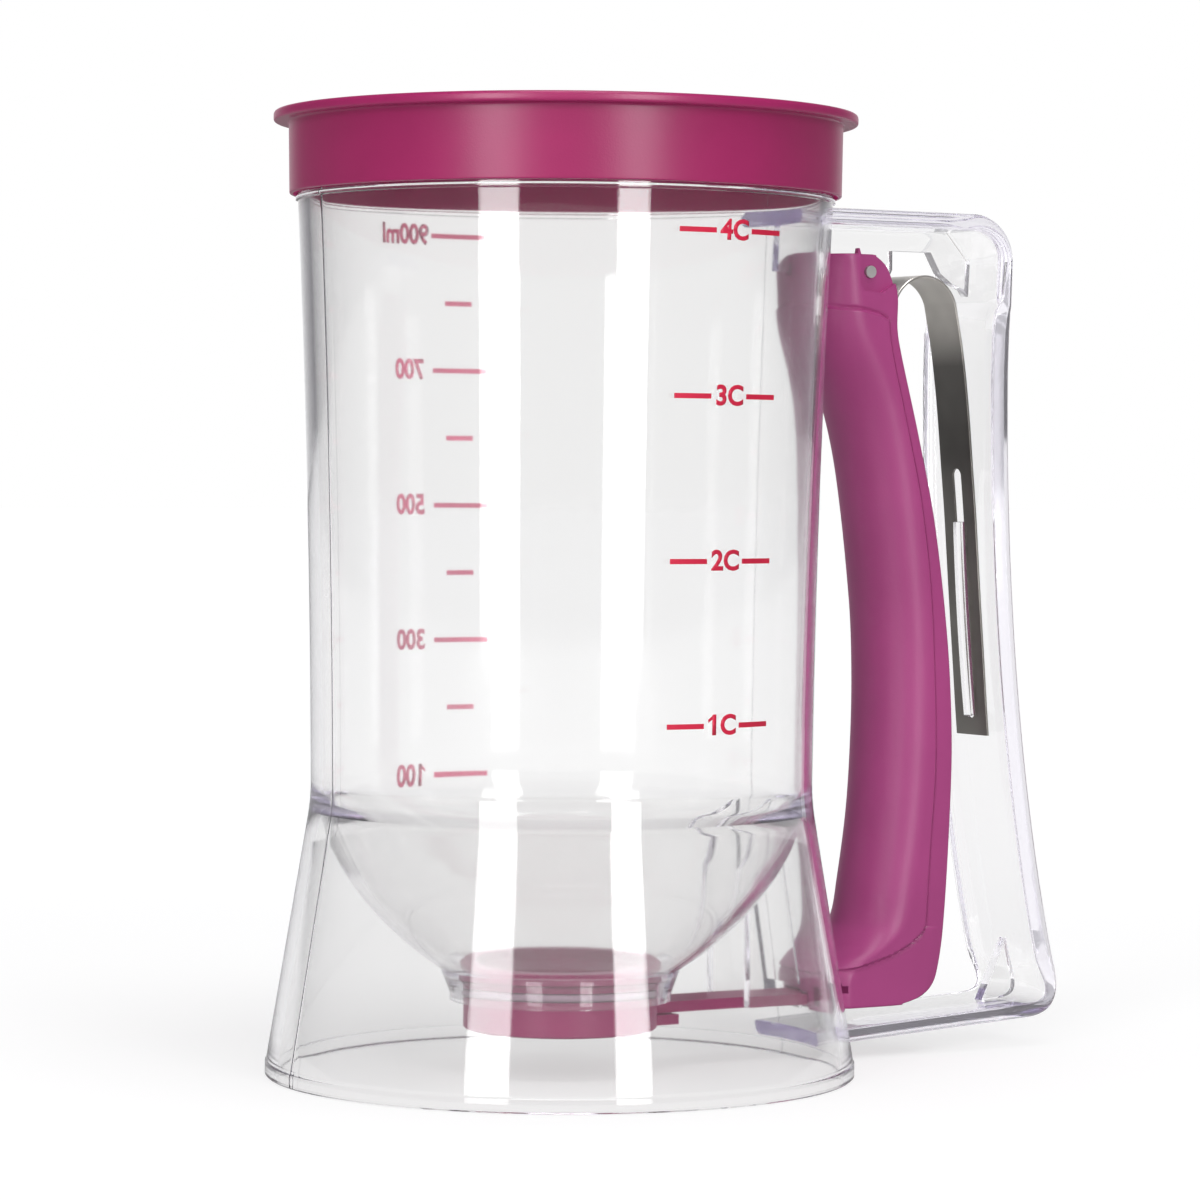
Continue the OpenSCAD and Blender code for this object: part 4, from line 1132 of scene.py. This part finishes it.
floor_mesh = bpy.data.meshes.new("floor")
floor_mesh.from_pydata([(x * floor_half, y * floor_half, floor_z)
                        for x, y in ((-1, -1), (1, -1), (1, 1), (-1, 1))], [], [(0, 1, 2, 3)])
floor = bpy.data.objects.new("floor", floor_mesh)
bpy.context.scene.collection.objects.link(floor)
sweep, tree = new_material("sweep")
ray = wire(tree, "LightPath").outputs
away = wire(tree, "VectorMath", {0: here(tree)}, operation="LENGTH").outputs["Value"]
last = floor_own[-1][0]
own_light = colour_stops(tree, maths(tree, "DIVIDE", away, last),
                         [(distance / last, grey(level)) for distance, level in floor_own])
outside = maths(tree, "LESS_THAN", ray["Transmission Depth"], more_than_once)
mirrored = maths(tree, "MULTIPLY", ray["Glossy Depth"], outside, clamp=True)
kept = wire(tree, "MapRange", {"Value": mirrored, "To Min": 1.0, "To Max": floor_mirrored})
seen = maths(tree, "SUBTRACT", 1.0, ray["Is Diffuse Ray"])
strength = maths(tree, "MULTIPLY", own_light,
                 maths(tree, "MULTIPLY", seen, kept.outputs["Result"]))
matt = wire(tree, "BsdfDiffuse", {"Color": (*grey(floor_bounce), 1)})
own = wire(tree, "Emission", {"Color": (1, 1, 1, 1), "Strength": strength})
both = wire(tree, "AddShader", {0: matt.outputs["BSDF"], 1: own.outputs["Emission"]})
wire(tree, "OutputMaterial", {"Surface": both.outputs["Shader"]})
dress(floor, sweep)
print("floor", 2 * floor_half, "m wide,", len(tree.nodes), "nodes")

# %% [markdown]
# ## World
#
# Clear plastic is mostly what it reflects, so the world looks different to different rays.
# Seen straight or through the plastic it is white, a little darker overhead. Diffuse rays see
# an even grey, which is the soft light of the room. A reflection sees one of three looks, laid
# out by how far its direction points back to the camera: dark with white ends on the outside
# of a wall, mid greys inside it, and one pale grey for light that has turned round more than
# once or crossed more than four faces. That keeps the thick corners from going black.

# %% World
straight_look = ((0.35, (1, 1, 1)), (0.85, (0.66, 0.67, 0.70)))
room_light = (0.34, 0.34, 0.35, 1)
outer_look = ((0.0, (1.0, 1.0, 1.0)), (0.09, (0.15, 0.15, 0.16)), (0.72, (0.13, 0.13, 0.14)),
              (1.0, (1.0, 1.0, 1.0)))
inner_look = ((0.0, (0.25, 0.245, 0.26)), (0.10, (0.15, 0.147, 0.155)),
              (0.42, (0.34, 0.335, 0.35)), (0.72, (0.18, 0.175, 0.185)), (1.0, (0.12, 0.12, 0.12)))
deep_look = (0.63, 0.625, 0.65, 1)


def mixed(tree, share, a, b):
    """Colour a (1 - share) + b share. A Mix node has sockets for each type of data, and those
    for colours are the inputs 6 and 7 and the output 2."""
    return wire(tree, "Mix", {0: share, 6: a, 7: b}, data_type="RGBA").outputs[2]


world = bpy.data.worlds.new("studio")
bpy.context.scene.world = world
world.use_nodes = True
tree = world.node_tree
tree.nodes.clear()
ray = wire(tree, "LightPath").outputs
way = wire(tree, "TexCoord").outputs["Generated"]
height = wire(tree, "SeparateXYZ", {"Vector": way}).outputs["Z"]
# Half a unit vector, so that the dot product and a half add up to 0 to 1.
toward_camera = (-math.sin(camera_turn) / 2, -math.cos(camera_turn) / 2, 0)
facing = wire(tree, "VectorMath", {0: way, 1: toward_camera}, operation="DOT_PRODUCT")
facing = maths(tree, "ADD", facing.outputs["Value"], 0.5)
outer, inner = (colour_stops(tree, facing, look) for look in (outer_look, inner_look))
inside = maths(tree, "GREATER_THAN", ray["Transmission Depth"], more_than_once)
turned_twice = maths(tree, "GREATER_THAN", ray["Glossy Depth"], more_than_once)
crossed_many = maths(tree, "GREATER_THAN", ray["Transmission Depth"], more_than_four)
deep = maths(tree, "MAXIMUM", turned_twice, crossed_many)
mirrored = mixed(tree, deep, mixed(tree, inside, outer, inner), deep_look)
turned_back = maths(tree, "SUBTRACT", ray["Glossy Depth"], ray["Is Diffuse Ray"], clamp=True)
straight, soft, gloss = (
    wire(tree, "Background", {"Color": look}).outputs["Background"]
    for look in (colour_stops(tree, height, straight_look), room_light, mirrored))
shown = wire(tree, "MixShader", {"Fac": ray["Is Diffuse Ray"], 1: straight, 2: soft})
shown = wire(tree, "MixShader", {"Fac": turned_back, 1: shown.outputs["Shader"], 2: gloss})
wire(tree, "OutputWorld", {"Surface": shown.outputs["Shader"]})
print("world has", len(tree.nodes), "nodes")

# %% [markdown]
# ## Lamps
#
# Two tall softboxes, left and right of the camera, draw the two upright highlights down the
# vessel and the lid's band. A weaker one above fills the top of the lid.

# %% Softboxes
aim_share = 0.6


def softbox(name, bearing, distance, z, size, radiance):
    """Area light at a bearing in degrees right of the camera, aimed at the axis at aim_share of
    its own height. Power = radiance * area * pi."""
    lamp = bpy.data.lights.new(name, "AREA")
    lamp.shape, lamp.size, lamp.size_y = "RECTANGLE", size[0], size[1]
    lamp.energy = radiance * size[0] * size[1] * math.pi
    light = bpy.data.objects.new(name, lamp)
    a = math.radians(bearing)
    toward = Vector((-math.sin(camera_turn), -math.cos(camera_turn), 0)) * math.cos(a)
    toward += Vector((math.cos(camera_turn), -math.sin(camera_turn), 0)) * math.sin(a)
    light.location = toward * distance + Vector((0, 0, z))
    back = light.location - Vector((0, 0, z * aim_share))
    light.rotation_euler = back.to_track_quat("Z", "Y").to_euler()
    bpy.context.scene.collection.objects.link(light)
    print(name, [round(v, 3) for v in light.location], round(lamp.energy, 2), "W")
    return light


softbox("left_softbox", bearing=-28, distance=1.25, z=0.38, size=(0.38, 0.95), radiance=6.6)
softbox("right_softbox", bearing=28.7, distance=1.25, z=0.38, size=(0.30, 0.95), radiance=7.8)
softbox("top_softbox", bearing=10, distance=0.5, z=1.7, size=(1.0, 1.0), radiance=4.5)

# %% [markdown]
# ## Light paths
#
# Light that runs along inside thick clear plastic meets its faces dozens of times. Where the
# limits on bounces stop it early, the corners render black, so the limits are raised.

# %% Light paths
bounces = bpy.context.scene.cycles
bounces.glossy_bounces, bounces.transmission_bounces, bounces.max_bounces = 40, 48, 64
bpy.context.scene.view_settings.view_transform = "Standard"
